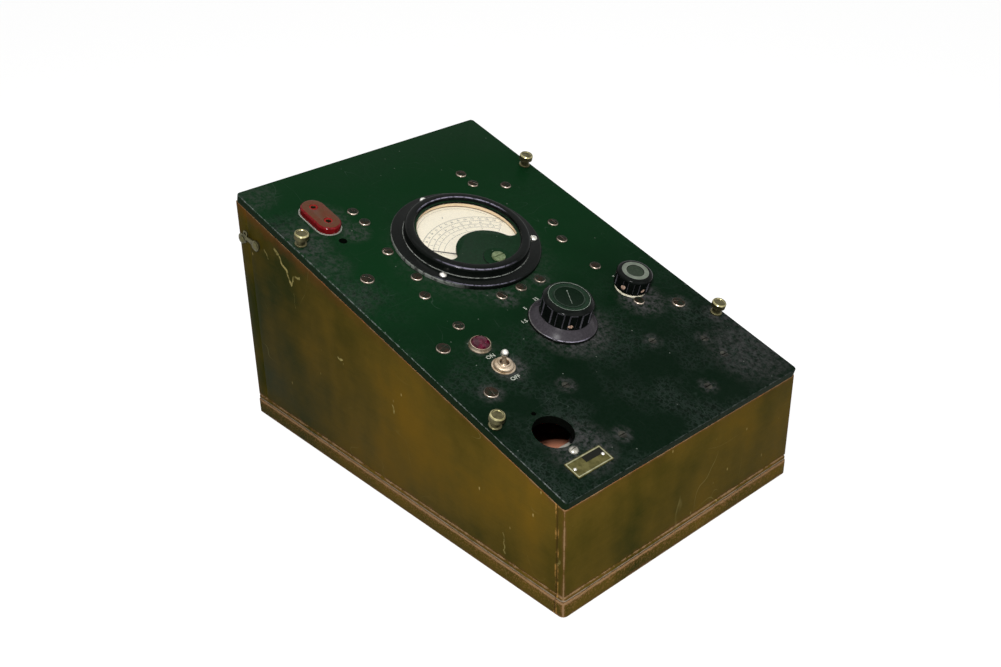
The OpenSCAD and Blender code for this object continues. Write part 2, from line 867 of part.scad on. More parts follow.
module countersunk_screws() {
  color("#8d8d86") on_panel() for (p = sunk_screws) at(p) {
    difference() {
      translate([0, 0, -sunk_head_h])
        cylinder(r1 = panel_shank_r, r2 = sunk_head_r, h = sunk_head_h);
      translate([-sunk_head_r, -0.4, -0.8]) cube([2 * sunk_head_r, 0.8, 1]);
    }
    translate([0, 0, nut_z - 2.4]) cylinder(r = panel_shank_r, h = -nut_z + 2.4 - sunk_head_h + 0.2);
    screw_nut(nut_z - mount_plate_t + bracket_t);
  }
}

// A knurled thumb screw, turned from one brass bar
module thumb_screw(p) {
  color("#a89a62") on_panel() at(p) rotate_extrude() polygon([
    [0, thumb_end], [thumb_shank_r - 0.6, thumb_end], [thumb_shank_r, thumb_end + 0.6],
    [thumb_shank_r, thumb_lift], [thumb_collar_r, thumb_lift],
    [thumb_collar_r, thumb_collar_h - 0.4], [thumb_waist_r, thumb_collar_h],
    [thumb_waist_r, thumb_waist_z - 0.5], [thumb_head_r - 0.4, thumb_waist_z],
    [thumb_head_r, thumb_waist_z + 0.4], [thumb_head_r, thumb_top - 0.9],
    [thumb_head_r - 0.9, thumb_top], [0, thumb_top]
  ]);
}

module thumb_screw_rear_left() { thumb_screw([-thumb_u, thumb_v]); }

module thumb_screw_rear_right() { thumb_screw([thumb_u, thumb_v]); }

module thumb_screw_front_left() { thumb_screw([-thumb_u, -thumb_v]); }

module thumb_screw_front_right() { thumb_screw([thumb_u, -thumb_v]); }

// Meter

// The crescent window, with round tips that touch both its arcs
module window_outline() {
  intersection() {
    difference() {
      circle(window_r);
      translate([0, -hump_down]) circle(hump_r);
    }
    translate([-window_r, tip_cut_y]) square([2 * window_r, 2 * window_r]);
  }
  for (s = [-1, 1]) translate([s * tip_x, tip_y]) circle(tip_r);
}

// One moulding: flange, bezel and the mask inside it
module meter_cover() {
  color("#16181a") on_panel() at(meter_at) difference() {
    union() {
      rotate_extrude() polygon([
        [0, mask_h], [recess_r, mask_h], [recess_r, bezel_h - 1.2], [recess_r + 1.2, bezel_h],
        [bezel_r - 3, bezel_h], [bezel_r - 1, bezel_h - 1], [bezel_r, bezel_h - 3],
        [bezel_r, flange_h], [flange_r - 1.4, flange_h], [flange_r, flange_h - 1.4],
        [flange_r, 0.3], [flange_r - 0.3, 0], [case_r + seat_gap, 0],
        [case_r + seat_gap, case_top + seat_gap], [surround_r + seat_gap, case_top + seat_gap],
        [surround_r + seat_gap, mask_under], [0, mask_under]
      ]);
      translate([0, -corrector_down, mask_h]) cylinder(r = boss_r, h = boss_h);
    }
    translate([0, 0, mask_under - eps]) linear_extrude(mask_t + boss_h + 2 * eps) window_outline();
    translate([0, -corrector_down, mask_under - eps])
      cylinder(r = corrector_neck_r + run_gap, h = mask_t + boss_h + 2 * eps);
    for (p = meter_screw_places) translate([p[0] - meter_at[0], p[1] - meter_at[1], -eps])
      cylinder(r = panel_hole_r, h = flange_h + 2 * eps);
  }
}

module meter_glass() {
  color("#dfe8e4", 0.3) on_panel() at(meter_at, glass_top - glass_t) intersection() {
    cylinder(r = glass_r, h = glass_t);
    translate([-glass_r, glass_edge_y, -eps]) cube([2 * glass_r, 2 * glass_r, glass_t + 2 * eps]);
  }
}

// A dished plate: the dial, and the cream wall that stands around it
module dial_plate() {
  color("#e9e1c2") on_panel() at(meter_at, case_top) difference() {
    cylinder(r = surround_r, h = mask_under - case_top - seat_gap);
    translate([0, 0, dial_t]) cylinder(r = surround_r - surround_t, h = mask_under);
    translate([0, -pivot_down, -eps]) cylinder(r = staff_r + 2.4, h = dial_t + 2 * eps);
  }
}

module meter_case() {
  bottom = -case_depth;
  color("#1a1a1b") on_panel() at(meter_at) difference() {
    translate([0, 0, bottom]) cylinder(r = case_r, h = case_top - bottom);
    translate([0, 0, bottom + case_bottom]) cylinder(r = case_in_r, h = case_depth - case_bottom - 2);
    translate([0, 0, -2 - eps]) cylinder(r = case_in_r - ledge_w, h = case_top + 2 + 2 * eps);
    for (s = [-1, 1]) translate([s * stud_place[0], stud_place[1], bottom - eps])
      cylinder(r = stud_r + seat_gap, h = case_bottom + 2 * eps);
  }
}

module meter_screws() {
  color("#c9c6bd") on_panel() for (p = meter_screw_places) at(p, flange_h) {
    difference() {
      dome(meter_head_r, 2);
      translate([-meter_head_r, -0.35, 1.2]) cube([2 * meter_head_r, 0.7, 2]);
    }
    translate([0, 0, meter_nut_z - flange_h - 1])
      cylinder(r = panel_shank_r, h = flange_h - meter_nut_z + 1.1);
    screw_nut(meter_nut_z - flange_h);
  }
}

// The horseshoe magnet stands around the pivot, open at the bottom
module meter_magnet() {
  color("#4a4d52") on_panel() at(pivot_at, core_bottom) linear_extrude(magnet_t) {
    for (s = [-1, 1]) translate([s > 0 ? magnet_in : -magnet_out, -magnet_low])
      square([magnet_leg, magnet_bow_y + magnet_low]);
    intersection() {
      translate([0, magnet_bow_y]) difference() {
        circle(magnet_out);
        circle(magnet_in);
      }
      translate([-magnet_out, magnet_bow_y]) square([2 * magnet_out, magnet_out]);
    }
  }
}

// Pole shoes, core, bearing yoke and bridge, which stay still around the coil
module meter_core() {
  color("#8c8f8e") on_panel() at(pivot_at) {
    for (m = [0, 1]) mirror([m, 0, 0]) {
      translate([0, 0, core_bottom]) difference() {
        translate([shoe_x, -shoe_y, 0]) cube([magnet_in - shoe_x - seat_gap, 2 * shoe_y, magnet_t]);
        translate([0, 0, -eps]) cylinder(r = pole_r, h = magnet_t + 2 * eps);
      }
      translate([post_x, 0, yoke_top - 0.1])
        cylinder(r = stud_r, h = core_bottom - yoke_top + 0.1 - seat_gap);
      translate([post_x, 0, core_top + seat_gap]) cylinder(r = stud_r, h = bridge_z - core_top);
    }
    difference() {
      union() {
        translate([0, 0, core_bottom]) cylinder(r = core_r, h = magnet_t);
        translate([-2, core_r - 1, yoke_bottom])
          cube([4, 6, core_top - yoke_bottom]);
      }
      translate([0, 0, core_bottom - eps]) cylinder(r = staff_r + air, h = magnet_t + 2 * eps);
    }
    difference() {
      translate([-post_x - yoke_end, -yoke_low, yoke_bottom])
        cube([2 * (post_x + yoke_end), yoke_len, yoke_top - yoke_bottom]);
      translate([0, 0, yoke_bottom - eps]) cylinder(r = jewel_hole_r, h = 6);
    }
    difference() {
      union() {
        translate([-post_x - stud_r, -bridge_w / 2, bridge_z])
          cube([2 * (post_x + stud_r), bridge_w, bridge_t]);
        translate([spring_end_r + spring_w + staff_r + seat_gap, 0, bridge_z])
          cylinder(r = staff_r, h = spring_z + spring_h - bridge_z);
      }
      translate([0, 0, bridge_z - eps]) cylinder(r = jewel_hole_r, h = bridge_t + 2 * eps);
    }
  }
}

// A flat spiral hairspring made of half turns about two alternating middles
module meter_spring() {
  step = spring_pitch / 2;
  color("#b98a3c") on_panel() at(pivot_at, spring_z)
    for (k = [0:2 * spring_turns - 1])
      translate([k % 2 == 0 ? 0 : step, 0, 0]) rotate([0, 0, k % 2 == 0 ? 0 : 180])
        rotate_extrude(angle = 180) translate([spring_r0 + k * step, 0]) square([spring_w, spring_h]);
}

module meter_terminals() {
  color("#b7954f") on_panel() for (s = [-1, 1])
    at(meter_at + [s * stud_place[0], stud_place[1]], -case_depth) {
      translate([0, 0, -stud_len]) cylinder(r = stud_r, h = stud_len + case_bottom + 1);
      translate([0, 0, -nut_h - seat_gap]) tube(stud_nut_r, stud_r + seat_gap, nut_h);
      translate([0, 0, case_bottom + seat_gap]) tube(stud_nut_r, stud_r + seat_gap, 0.9);
    }
}

// The moving coil, its staff and the pointer, drawn at mid scale and turned to zero
module pointer() {
  color("#20201e") on_panel() at(pivot_at) rotate([0, 0, zero_angle]) {
    translate([0, 0, yoke_bottom + 0.3]) cylinder(r = staff_r, h = pointer_z + pointer_t - yoke_bottom);
    for (s = [-1, 1]) translate([s > 0 ? coil_in_r : -coil_out_r, -coil_w / 2, coil_bottom])
      cube([coil_out_r - coil_in_r, coil_w, coil_top - coil_bottom]);
    for (z = [coil_bottom, coil_top - coil_t]) translate([-coil_out_r, -coil_w / 2, z])
      cube([2 * coil_out_r, coil_w, coil_t]);
    translate([0, 0, pointer_z]) linear_extrude(pointer_t)
      polygon([[-0.8, -tail_len], [0.8, -tail_len], [0.8, 2], [0.2, pointer_len], [-0.2, pointer_len],
        [-0.8, 2]]);
    translate([0, -tail_len, pointer_z - 0.4]) cylinder(r = 1.6, h = pointer_t + 0.6);
  }
}

module zero_corrector() {
  color("#8f9a62") on_panel() at(corrector_at) {
    difference() {
      translate([0, 0, mask_h + boss_h + 0.05]) cylinder(r = corrector_r, h = corrector_h - boss_h);
      translate([-corrector_r, -0.6, mask_h + corrector_h - 1])
        cube([2 * corrector_r, 1.2, 2]);
    }
    translate([0, 0, mask_under - 0.8])
      cylinder(r = corrector_neck_r, h = mask_t + boss_h + 1);
    translate([0, corrector_neck_r - 0.7, mask_under - 1.6]) cylinder(r = 0.6, h = 1);
  }
}

// Range switch

// The straight flutes around a grip, as cutters
module flutes(r, count, z0, h) {
  for (k = [0:count - 1]) rotate([0, 0, (k + 0.5) * 360 / count])
    translate([r + flute_r * 0.45, 0, z0]) cylinder(r = flute_r, h = h);
}

module set_screw_hole(r, angle, z) {
  translate([0, 0, z]) rotate([0, 0, angle]) rotate([0, 90, 0])
    cylinder(r = set_screw_r + seat_gap, h = r + 2);
}

module set_screw(r, angle, z) {
  translate([0, 0, z]) rotate([0, 0, angle]) rotate([0, 90, 0]) difference() {
    translate([0, 0, shaft_r + seat_gap]) cylinder(r = set_screw_r, h = r - shaft_r - seat_gap);
    translate([-set_screw_r, -0.3, r - 0.7]) cube([2 * set_screw_r, 0.6, 1]);
  }
}

module range_knob() {
  color("#141415") on_panel() at(range_at) difference() {
    rotate_extrude() polygon(concat(
      [[0, knob_lift], [skirt_r - 0.6, knob_lift], [skirt_r, knob_lift + 0.6],
        [skirt_r, skirt_edge_h]],
      [for (a = [15:15:75])
        [grip_r - 1 + (skirt_r - grip_r + 1) * cos(a),
          skirt_edge_h + (grip_foot_h - skirt_edge_h) * sin(a)]],
      [[grip_r, grip_foot_h], [grip_r, knob_top - 2.4],
        [knob_face_r, knob_top], [0, knob_top]]));
    flutes(grip_r, knob_flutes, grip_foot_h + 0.4, knob_top);
    translate([0, 0, knob_lift - eps]) cylinder(r = knob_well_r, h = knob_well_h + eps);
    translate([0, 0, knob_lift]) cylinder(r = shaft_r + seat_gap, h = knob_bore_top - knob_lift);
    set_screw_hole(skirt_r, set_screw_angle, set_screw_h);
  }
}

module range_knob_screw() {
  color("#b5883f") on_panel() at(range_at) set_screw(grip_r - 0.9, set_screw_angle, set_screw_h);
}

// Shaft, star wheel and the rotors that turn inside the wafers
module range_shaft() {
  color("#a8a69c") on_panel() at(range_at) {
    translate([0, 0, shaft_end]) cylinder(r = shaft_r, h = knob_bore_top - shaft_end - 0.3);
    translate([0, 0, frame_z - 7]) difference() {
      cylinder(r = star_r, h = 2);
      flutes(star_r + 1, 360 / step_angle, -eps, 4);
    }
    for (k = [0, 1]) translate([0, 0, -wafer_depth - k * wafer_pitch - wafer_t])
      cylinder(r = rotor_r, h = wafer_t);
  }
}

// A bushing with its flange under the panel, which the shaft turns in
module bushing() {
  difference() {
    union() {
      translate([0, 0, below - bush_flange_t])
        cylinder(r = bush_flange_r, h = bush_flange_t - seat_gap);
      translate([0, 0, below - bush_flange_t]) cylinder(r = bush_r, h = bush_top - below + bush_flange_t);
    }
    translate([0, 0, below - bush_flange_t - eps])
      cylinder(r = bush_bore_r, h = bush_top - below + bush_flange_t + 2 * eps);
  }
}

module hex_nut(z) {
  translate([0, 0, z]) difference() {
    cylinder(r = hex_r, h = hex_h, $fn = 6);
    translate([0, 0, -eps]) cylinder(r = bush_r + seat_gap, h = hex_h + 2 * eps, $fn = 48);
  }
}

module range_bushing() {
  color("#b0aca0") on_panel() at(range_at) {
    bushing();
    hex_nut(seat_gap);
  }
}

module range_switch() {
  low = -wafer_depth - wafer_pitch - wafer_t;
  color("#7b5a2c") on_panel() at(range_at) {
    translate([0, 0, frame_z - 1.6]) tube(wafer_r, shaft_r + air, 1.6);
    for (s = [-1, 1]) translate([s * post_u, 0, low - 1]) cylinder(r = switch_post_r, h = frame_z - 1.6 - low + 1);
    for (k = [0, 1]) translate([0, 0, -wafer_depth - k * wafer_pitch - wafer_t])
      tube(wafer_r, rotor_r + air, wafer_t);
  }
}

// Zero control

module zero_knob() {
  color("#161617") on_panel() at(zero_at) difference() {
    rotate_extrude() polygon([
      [0, zero_plate_t + air], [zero_r - 2, zero_plate_t + air], [zero_r, zero_foot],
      [zero_r, zero_top - zero_rim_h], [inlay_r + 0.8, zero_top], [0, zero_top]
    ]);
    flutes(zero_r, zero_flutes, zero_foot + 0.4, zero_top);
    cylinder(r = zero_well_r, h = zero_foot + 0.6);
    cylinder(r = shaft_r + seat_gap, h = zero_bore_top);
    translate([0, 0, zero_top - inlay_t]) tube(inlay_r + seat_gap, inlay_in_r - seat_gap, 2);
    for (a = zero_screw_angles) set_screw_hole(zero_r, a, zero_screw_h);
  }
}

module zero_knob_inlay() {
  color("#8d918c") on_panel() at(zero_at, zero_top - inlay_t + seat_gap)
    tube(inlay_r, inlay_in_r, inlay_t);
}

module zero_knob_screws() {
  color("#b5883f") on_panel() at(zero_at) for (a = zero_screw_angles)
    set_screw(zero_r - 0.9, a, zero_screw_h);
}

// Shaft and wiper arm of the rheostat
module zero_shaft() {
  color("#a8a69c") on_panel() at(zero_at) {
    translate([0, 0, wiper_z - 2]) cylinder(r = shaft_r, h = zero_bore_top - wiper_z + 2 - 0.3);
    translate([0, 0, wiper_z]) cylinder(r = shaft_r + 2.5, h = 1.5);
    translate([0, -wiper_w / 2, wiper_z]) cube([rheostat_r - can_t - 1, wiper_w, 1.5]);
  }
}

module zero_bushing() {
  color("#cfcabd") on_panel() at(zero_at) {
    bushing();
    translate([0, 0, seat_gap]) tube(zero_plate_r, bush_r + seat_gap, zero_plate_t - seat_gap);
    hex_nut(zero_plate_t + seat_gap);
  }
}

module rheostat() {
  front = frame_z - can_t;
  color("#6d5a3a") on_panel() at(zero_at) {
    difference() {
      translate([0, 0, frame_z - rheostat_depth]) cylinder(r = rheostat_r, h = rheostat_depth);
      translate([0, 0, frame_z - rheostat_depth - eps])
        cylinder(r = rheostat_r - can_t, h = rheostat_depth - can_t + eps);
      translate([0, 0, front - eps]) cylinder(r = shaft_r + air, h = can_t + 2 * eps);
      translate([locator[0], locator[1], front - eps])
        cylinder(r = panel_shank_r + seat_gap, h = can_t + 2 * eps);
    }
    translate([0, 0, winding_z]) tube(rheostat_r - can_t - seat_gap, winding_in, winding_h);
  }
}

// Power switch

module toggle_lever() {
  color("#cdc9bf") on_panel() at(toggle_at, toggle_pivot_h) rotate([-toggle_lean, 0, 0]) {
    sphere(toggle_pivot_r);
    cylinder(r1 = toggle_stem_r, r2 = toggle_stem_r * 0.8, h = toggle_len);
    translate([0, 0, toggle_len]) sphere(toggle_ball_r);
    translate([0, 0, -toggle_tail]) cylinder(r = toggle_tail_r, h = toggle_tail);
  }
}

module toggle_bushing() {
  color("#b9ad8c") on_panel() at(toggle_at) {
    translate([0, 0, below]) tube(toggle_bush_r, toggle_bush_in, toggle_bush_top - below);
    translate([0, 0, seat_gap])
      tube(toggle_washer_r, toggle_bush_r + seat_gap, toggle_washer_t - seat_gap);
    translate([0, 0, toggle_washer_t + seat_gap]) rotate_extrude() polygon(concat(
      [[toggle_bush_r + seat_gap, 0], [toggle_nut_r, 0], [toggle_nut_r, toggle_nut_edge]],
      [for (a = [30:30:90])
        [toggle_bush_r + 0.6 + (toggle_nut_r - toggle_bush_r - 0.6) * cos(a),
          toggle_nut_edge + (toggle_nut_h - toggle_nut_edge) * sin(a)]],
      [[toggle_bush_r + seat_gap, toggle_nut_h]]));
  }
}

module toggle_body() {
  color("#3b2a20") on_panel() at(toggle_at) {
    difference() {
      translate([-toggle_box[0] / 2, -toggle_box[1] / 2, below - seat_gap - toggle_box[2]])
        cube(toggle_box);
      translate([-toggle_well[0] / 2, -toggle_well[1] / 2, below - seat_gap - toggle_well[2]])
        cube([toggle_well[0], toggle_well[1], toggle_well[2] + eps]);
    }
    for (s = [-1, 1]) translate([-toggle_lug[0] / 2, s * 8 - toggle_lug[1] / 2,
      below - toggle_box[2] - toggle_lug[2]]) cube(toggle_lug);
  }
}

// Pilot lamp

module lamp_holder() {
  color("#b08a55") on_panel() at(lamp_at) {
    difference() {
      union() {
        translate([0, 0, seat_gap]) cylinder(r = lamp_bezel_r, h = lamp_edge_h - seat_gap);
        translate([0, 0, lamp_edge_h])
          cylinder(r1 = lamp_bezel_r, r2 = jewel_r + lamp_lip, h = lamp_rim_h - lamp_edge_h);
        translate([0, 0, lamp_tube_end]) cylinder(r = lamp_tube_r, h = -lamp_tube_end + 1);
      }
      translate([0, 0, jewel_seat]) cylinder(r = jewel_r + seat_gap, h = lamp_rim_h);
      translate([0, 0, lamp_tube_end + 1.5]) cylinder(r = lamp_tube_in, h = -lamp_tube_end + 2);
    }
    translate([0, 0, below - 3]) tube(lamp_tube_r + 2.5, lamp_tube_r + seat_gap, 3 - seat_gap);
  }
}

module pilot_jewel() {
  color("#6e1238", 0.85) on_panel() at(lamp_at) {
    translate([0, 0, lamp_rim_h]) dome(jewel_r, jewel_top - lamp_rim_h);
    translate([0, 0, jewel_seat + seat_gap]) cylinder(r = jewel_r, h = lamp_rim_h - jewel_seat);
    translate([0, 0, below]) cylinder(r = lamp_tube_in - seat_gap, h = jewel_seat - below + 0.2);
  }
}

module pilot_bulb() {
  low = lamp_tube_end + 1.5 + seat_gap;
  color("#d8d2b8", 0.6) on_panel() at(lamp_at) {
    translate([0, 0, low]) cylinder(r = bulb_base_r, h = bulb_base_top - low);
    translate([0, 0, bulb_base_top - 1])
      cylinder(r = bulb_glass_r, h = bulb_top - bulb_glass_r - bulb_base_top + 1);
    translate([0, 0, bulb_top - bulb_glass_r]) sphere(bulb_glass_r);
  }
}

// Input terminals

// A block with round ends and a bevelled top edge
module racetrack(w, l, h, bevel) {
  profile = [[0, 0], [w / 2, 0], [w / 2, h - bevel], [w / 2 - bevel, h], [0, h]];
  run = l - w;
  for (s = [-1, 1]) translate([0, s * run / 2, 0]) rotate_extrude() polygon(profile);
  translate([0, run / 2, 0]) rotate([90, 0, 0]) linear_extrude(run) polygon([
    [-w / 2, 0], [w / 2, 0], [w / 2, h - bevel], [w / 2 - bevel, h], [-w / 2 + bevel, h],
    [-w / 2, h - bevel]
  ]);
}

module jack_plate() {
  color("#7a2a1e") on_panel() at(jacks_at) difference() {
    racetrack(plate_w, plate_len, plate_t, plate_chamfer);
    for (b = pair) translate([0, b * jack_pitch, -eps])
      cylinder(r = jack_r + seat_gap, h = plate_t + 2 * eps);
  }
}

module input_jacks() {
  color("#8f6a40") on_panel() for (b = pair) at(jacks_at + [0, b * jack_pitch]) {
    translate([0, 0, jack_end]) tube(jack_r, jack_bore_r, jack_top - jack_end);
    translate([0, 0, jack_nut_z]) tube(jack_r + jack_nut_w, jack_r + seat_gap, jack_nut_h - seat_gap);
  }
}

// Supply inlet: an open hole, one screw and the solder tab that it holds
module inlet_fixings() {
  screw_at = inlet_at - [0, inlet_pitch / 2];
  color("#b9b9b2") on_panel() at(screw_at) {
    difference() {
      dome(nickel_head_r, nickel_head_h);
      translate([-nickel_head_r, -0.4, nickel_head_h * 0.6]) cube([2 * nickel_head_r, 0.8, 2]);
    }
    translate([0, 0, short_end - tab_washer_t])
      cylinder(r = panel_shank_r, h = -short_end + tab_washer_t + 0.1);
    translate([0, 0, below - tab_washer_t]) tube(nut_r, panel_shank_r + seat_gap, tab_washer_t - seat_gap);
    translate([-3.5, -4, below - tab_washer_t - tab_t - seat_gap]) difference() {
      cube([tab_w, 4 + tab_reach, tab_t]);
      translate([3.5, 4, -eps]) cylinder(r = panel_shank_r + seat_gap, h = tab_t + 2 * eps);
    }
    screw_nut(below - tab_washer_t - tab_t - nut_h - 2 * seat_gap);
  }
}

module nameplate() {
  color("#6b6434") on_panel() at(nameplate_at) difference() {
    translate([0, 0, seat_gap]) round_plate(nameplate_w, nameplate_h, nameplate_t - seat_gap, 0.8);
    for (s = [-1, 1]) translate([s * rivet_u, 0, -eps])
      cylinder(r = rivet_r * 0.6 + seat_gap, h = nameplate_t + 2 * eps);
  }
}

module nameplate_rivets() {
  color("#8c8150") on_panel() for (s = [-1, 1]) at(nameplate_at + [s * rivet_u, 0]) {
    translate([0, 0, nameplate_t]) dome(rivet_r, 0.8);
    translate([0, 0, below + 1]) cylinder(r = rivet_r * 0.6, h = nameplate_t - below - 0.9);
  }
}

// Parts that hang under the panel

// Mounting plate and stack of sheet iron with two windows
module transformer_core() {
  plate = [transformer_fix[0] + 2 * mount_margin, transformer_fix[1] + 2 * mount_margin];
  color("#5c5a55") on_panel() at(transformer_at) {
    difference() {
      translate([-plate[0] / 2, -plate[1] / 2, below - mount_plate_t - seat_gap])
        cube([plate[0], plate[1], mount_plate_t]);
      for (a = pair) for (b = pair)
        translate([a * transformer_fix[0], b * transformer_fix[1], iron_top - 1])
          cylinder(r = panel_hole_r, h = mount_plate_t + 2);
    }
    difference() {
      translate([-iron_w / 2, -stack_t / 2, iron_top - core_depth])
        cube([iron_w, stack_t, core_depth]);
      for (s = [-1, 1]) translate([s * (leg_w + coil_room / 2) - coil_room / 2, -stack_t,
        iron_top - core_depth + leg_w]) cube([coil_room, 2 * stack_t, core_depth - 2 * leg_w]);
    }
  }
}

// The winding around the middle leg
module transformer_coil() {
  room_h = core_depth - 2 * leg_w - 2 * winding_air;
  color("#8a6f45") on_panel() at(transformer_at, iron_top - core_depth + leg_w + winding_air)
    difference() {
      translate([-leg_w - coil_room + winding_air, -stack_t / 2 - coil_over, 0])
        cube([2 * (leg_w + coil_room - winding_air), stack_t + 2 * coil_over, room_h]);
      translate([-leg_w - winding_air, -stack_t / 2 - winding_air, -eps])
        cube([2 * (leg_w + winding_air), stack_t + 2 * winding_air, room_h + 2 * eps]);
    }
}

// Sheet deck on four pillars
module chassis_deck() {
  color("#9aa0a0") on_panel() {
    at(deck_at, -deck_depth) difference() {
      translate([-deck_size[0] / 2, -deck_size[1] / 2, 0]) cube([deck_size[0], deck_size[1], deck_t]);
      for (x = valve_places) translate([x, 0, -eps]) cylinder(r = valve_r + seat_gap, h = deck_t + 2 * eps);
    }
    for (p = deck_screws) at(p, -deck_depth + deck_t - 0.1) difference() {
      cylinder(r = pillar_r, h = deck_depth - deck_t - panel_t + 0.1 - seat_gap);
      translate([0, 0, deck_depth - deck_t - panel_t - pillar_screw_len - 0.2])
        cylinder(r = panel_shank_r + seat_gap, h = pillar_screw_len + 1);
    }
  }
}

// Three valves hang from the deck: socket rings above it, bases and glass below
module valves() {
  color("#5f5a52") on_panel() for (x = valve_places) at(deck_at + [x, 0], -deck_depth) {
    translate([0, 0, -valve_base_h + 4]) cylinder(r = valve_r, h = valve_base_h);
    translate([0, 0, deck_t + seat_gap]) tube(valve_r + 3, valve_r + seat_gap, 1.5);
    translate([0, 0, -valve_base_h + 4 - valve_len + valve_glass_r])
      cylinder(r = valve_glass_r, h = valve_len - valve_glass_r + 0.1);
    translate([0, 0, -valve_base_h + 4 - valve_len + valve_glass_r]) sphere(valve_glass_r);
  }
}

// Two sealed capacitors on plates screwed to the panel
module capacitors() {
  foot = [can_foot[0], can_foot[1], bracket_t];
  color("#8b8f8d") on_panel() for (s = [-1, 1]) at([s * can_at[0], can_at[1]]) {
    difference() {
      translate([-foot[0] / 2, -foot[1] / 2, below - bracket_t - seat_gap]) cube(foot);
      for (b = pair) translate([0, b * can_pitch, below - 3]) cylinder(r = panel_hole_r, h = 4);
    }
    for (e = [-1, 1]) translate([e * (foot[0] / 2 - 1) - 1, -foot[1] / 2, can_top])
      cube([2, foot[1], below - 1 - can_top]);
    translate([-can_size[0] / 2, -can_size[1] / 2, can_top - can_size[2]]) cube(can_size);
    for (e = [-1, 1]) translate([e * can_size[0] / 4, 0, can_top - can_size[2] - can_stud_len])
      cylinder(r = 2, h = can_stud_len + 0.1);
  }
}

// Boards and single parts: range resistors, terminal strip, power resistor and fuse block
module component_boards() {
  board_z = below - board_drop;
  color("#7d5f38") on_panel() {
    // Board of range resistors on three spacers
    at(board_at) difference() {
      union() {
        translate([-board_pitch - board_end, -board_w / 2, board_z])
          cube([2 * (board_pitch + board_end), board_w, 2]);
        for (k = [-1, 0, 1]) translate([k * board_pitch, 0, board_z + 1.9])
          cylinder(r = 3.2, h = board_drop - 2 + 0.1 - seat_gap);
        for (k = [-2:2]) translate([k * board_pitch / 2, board_w / 2 - 3, board_z - 2.9])
          rotate([90, 0, 0]) cylinder(r = 3, h = board_w - 6);
      }
      for (k = [-1, 0, 1]) translate([k * board_pitch, 0, below - pillar_screw_len - 0.2])
        cylinder(r = panel_shank_r + seat_gap, h = pillar_screw_len + 1);
    }
    // Terminal strip
    at(strip_at) difference() {
      union() {
        translate([-strip_w / 2, -(strip_pitch + strip_w) / 2, below - bracket_t - seat_gap])
          cube([strip_w, strip_pitch + strip_w, bracket_t]);
        translate([-1, -strip_pitch / 2 + 7, below - strip_drop])
          cube([2, strip_pitch - 14, strip_drop - bracket_t]);
      }
      for (b = pair) translate([0, b * strip_pitch, below - 3]) cylinder(r = panel_hole_r, h = 4);
    }
    // Power resistor between two feet
    at(tube_res_at) difference() {
      union() {
        for (b = pair) translate([-6, b * tube_res_pitch - 5, below - bracket_t - seat_gap])
          cube([12, 10, bracket_t]);
        for (s = [-1, 1]) translate([-6, s * (tube_res_pitch / 2 - 7) - 1, below - tube_res_drop])
          cube([12, 2, tube_res_drop - seat_gap]);
        for (s = [-1, 1]) translate([-6, s * (tube_res_pitch / 2 - 6) - 3, below - bracket_t - seat_gap])
          cube([12, 6, bracket_t]);
        translate([0, tube_res_pitch / 2 - 4, below - tube_res_drop]) rotate([90, 0, 0])
          cylinder(r = tube_res_r, h = tube_res_pitch - 8);
      }
      for (b = pair) translate([0, b * tube_res_pitch, below - 3]) cylinder(r = panel_hole_r, h = 4);
    }
    // Fuse block
    at(fuse_at) difference() {
      translate([-fuse_w / 2, -(fuse_pitch + fuse_w) / 2, below - mount_plate_t - seat_gap])
        cube([fuse_w, fuse_pitch + fuse_w, mount_plate_t]);
      for (b = pair) translate([0, b * fuse_pitch, below - 3]) cylinder(r = panel_hole_r, h = 4);
    }
    at(fuse_at) translate([-fuse_w / 2, -fuse_pitch / 2 + 4, below - fuse_drop])
      cube([fuse_w, fuse_pitch - 8, fuse_drop - mount_plate_t + 0.1]);
  }
}

// An angle along the left side for the wiring, and a clip on the right
module panel_brackets() {
  v0 = min(angle_v) - angle_over;
  len = max(angle_v) + angle_over - v0;
  color("#8f9492") on_panel() {
    difference() {
      union() {
        translate([angle_u - angle_w / 2, v0, below - bracket_t - seat_gap])
          cube([angle_w, len, bracket_t]);
        translate([angle_u - angle_w / 2, v0, below - angle_web])
          cube([bracket_t, len, angle_web - seat_gap]);
      }
      for (v = angle_v) translate([angle_u, v, below - 3]) cylinder(r = panel_hole_r, h = 4);
    }
    at(clip_at) difference() {
      union() {
        translate([-angle_w / 2, -angle_w / 2, below - bracket_t - seat_gap])
          cube([angle_w, angle_w, bracket_t]);
        translate([-angle_w / 2, -angle_w / 2, below - clip_drop])
          cube([angle_w, bracket_t, clip_drop - seat_gap]);
      }
      translate([0, 0, below - 3]) cylinder(r = panel_hole_r, h = 4);
    }
  }
}

base_board();
base_bead();
side_left();
side_right();
front_board();
back_board();
corner_blocks();
cabinet_screws();
rubber_feet();
thumb_inserts();
catch_pins();
catch_hook_left();
catch_hook_right();
front_panel();
panel_screws();
countersunk_screws();
thumb_screw_rear_left();
thumb_screw_rear_right();
thumb_screw_front_left();
thumb_screw_front_right();
meter_cover();
meter_glass();
dial_plate();
meter_case();
meter_screws();
meter_magnet();
meter_core();
meter_spring();
meter_terminals();
pointer();
zero_corrector();
range_knob();
range_knob_screw();
range_shaft();
range_bushing();
range_switch();
zero_knob();
zero_knob_inlay();
zero_knob_screws();
zero_shaft();
zero_bushing();
rheostat();
toggle_lever();
toggle_bushing();
toggle_body();
lamp_holder();
pilot_jewel();
pilot_bulb();
jack_plate();
input_jacks();
inlet_fixings();
nameplate();
nameplate_rivets();
transformer_core();
transformer_coil();
chassis_deck();
valves();
capacitors();
component_boards();
panel_brackets();
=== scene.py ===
"""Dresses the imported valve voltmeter: worn wooden cabinet, crackle panel, meter and controls."""

import json
import math
from contextlib import contextmanager
from functools import partial

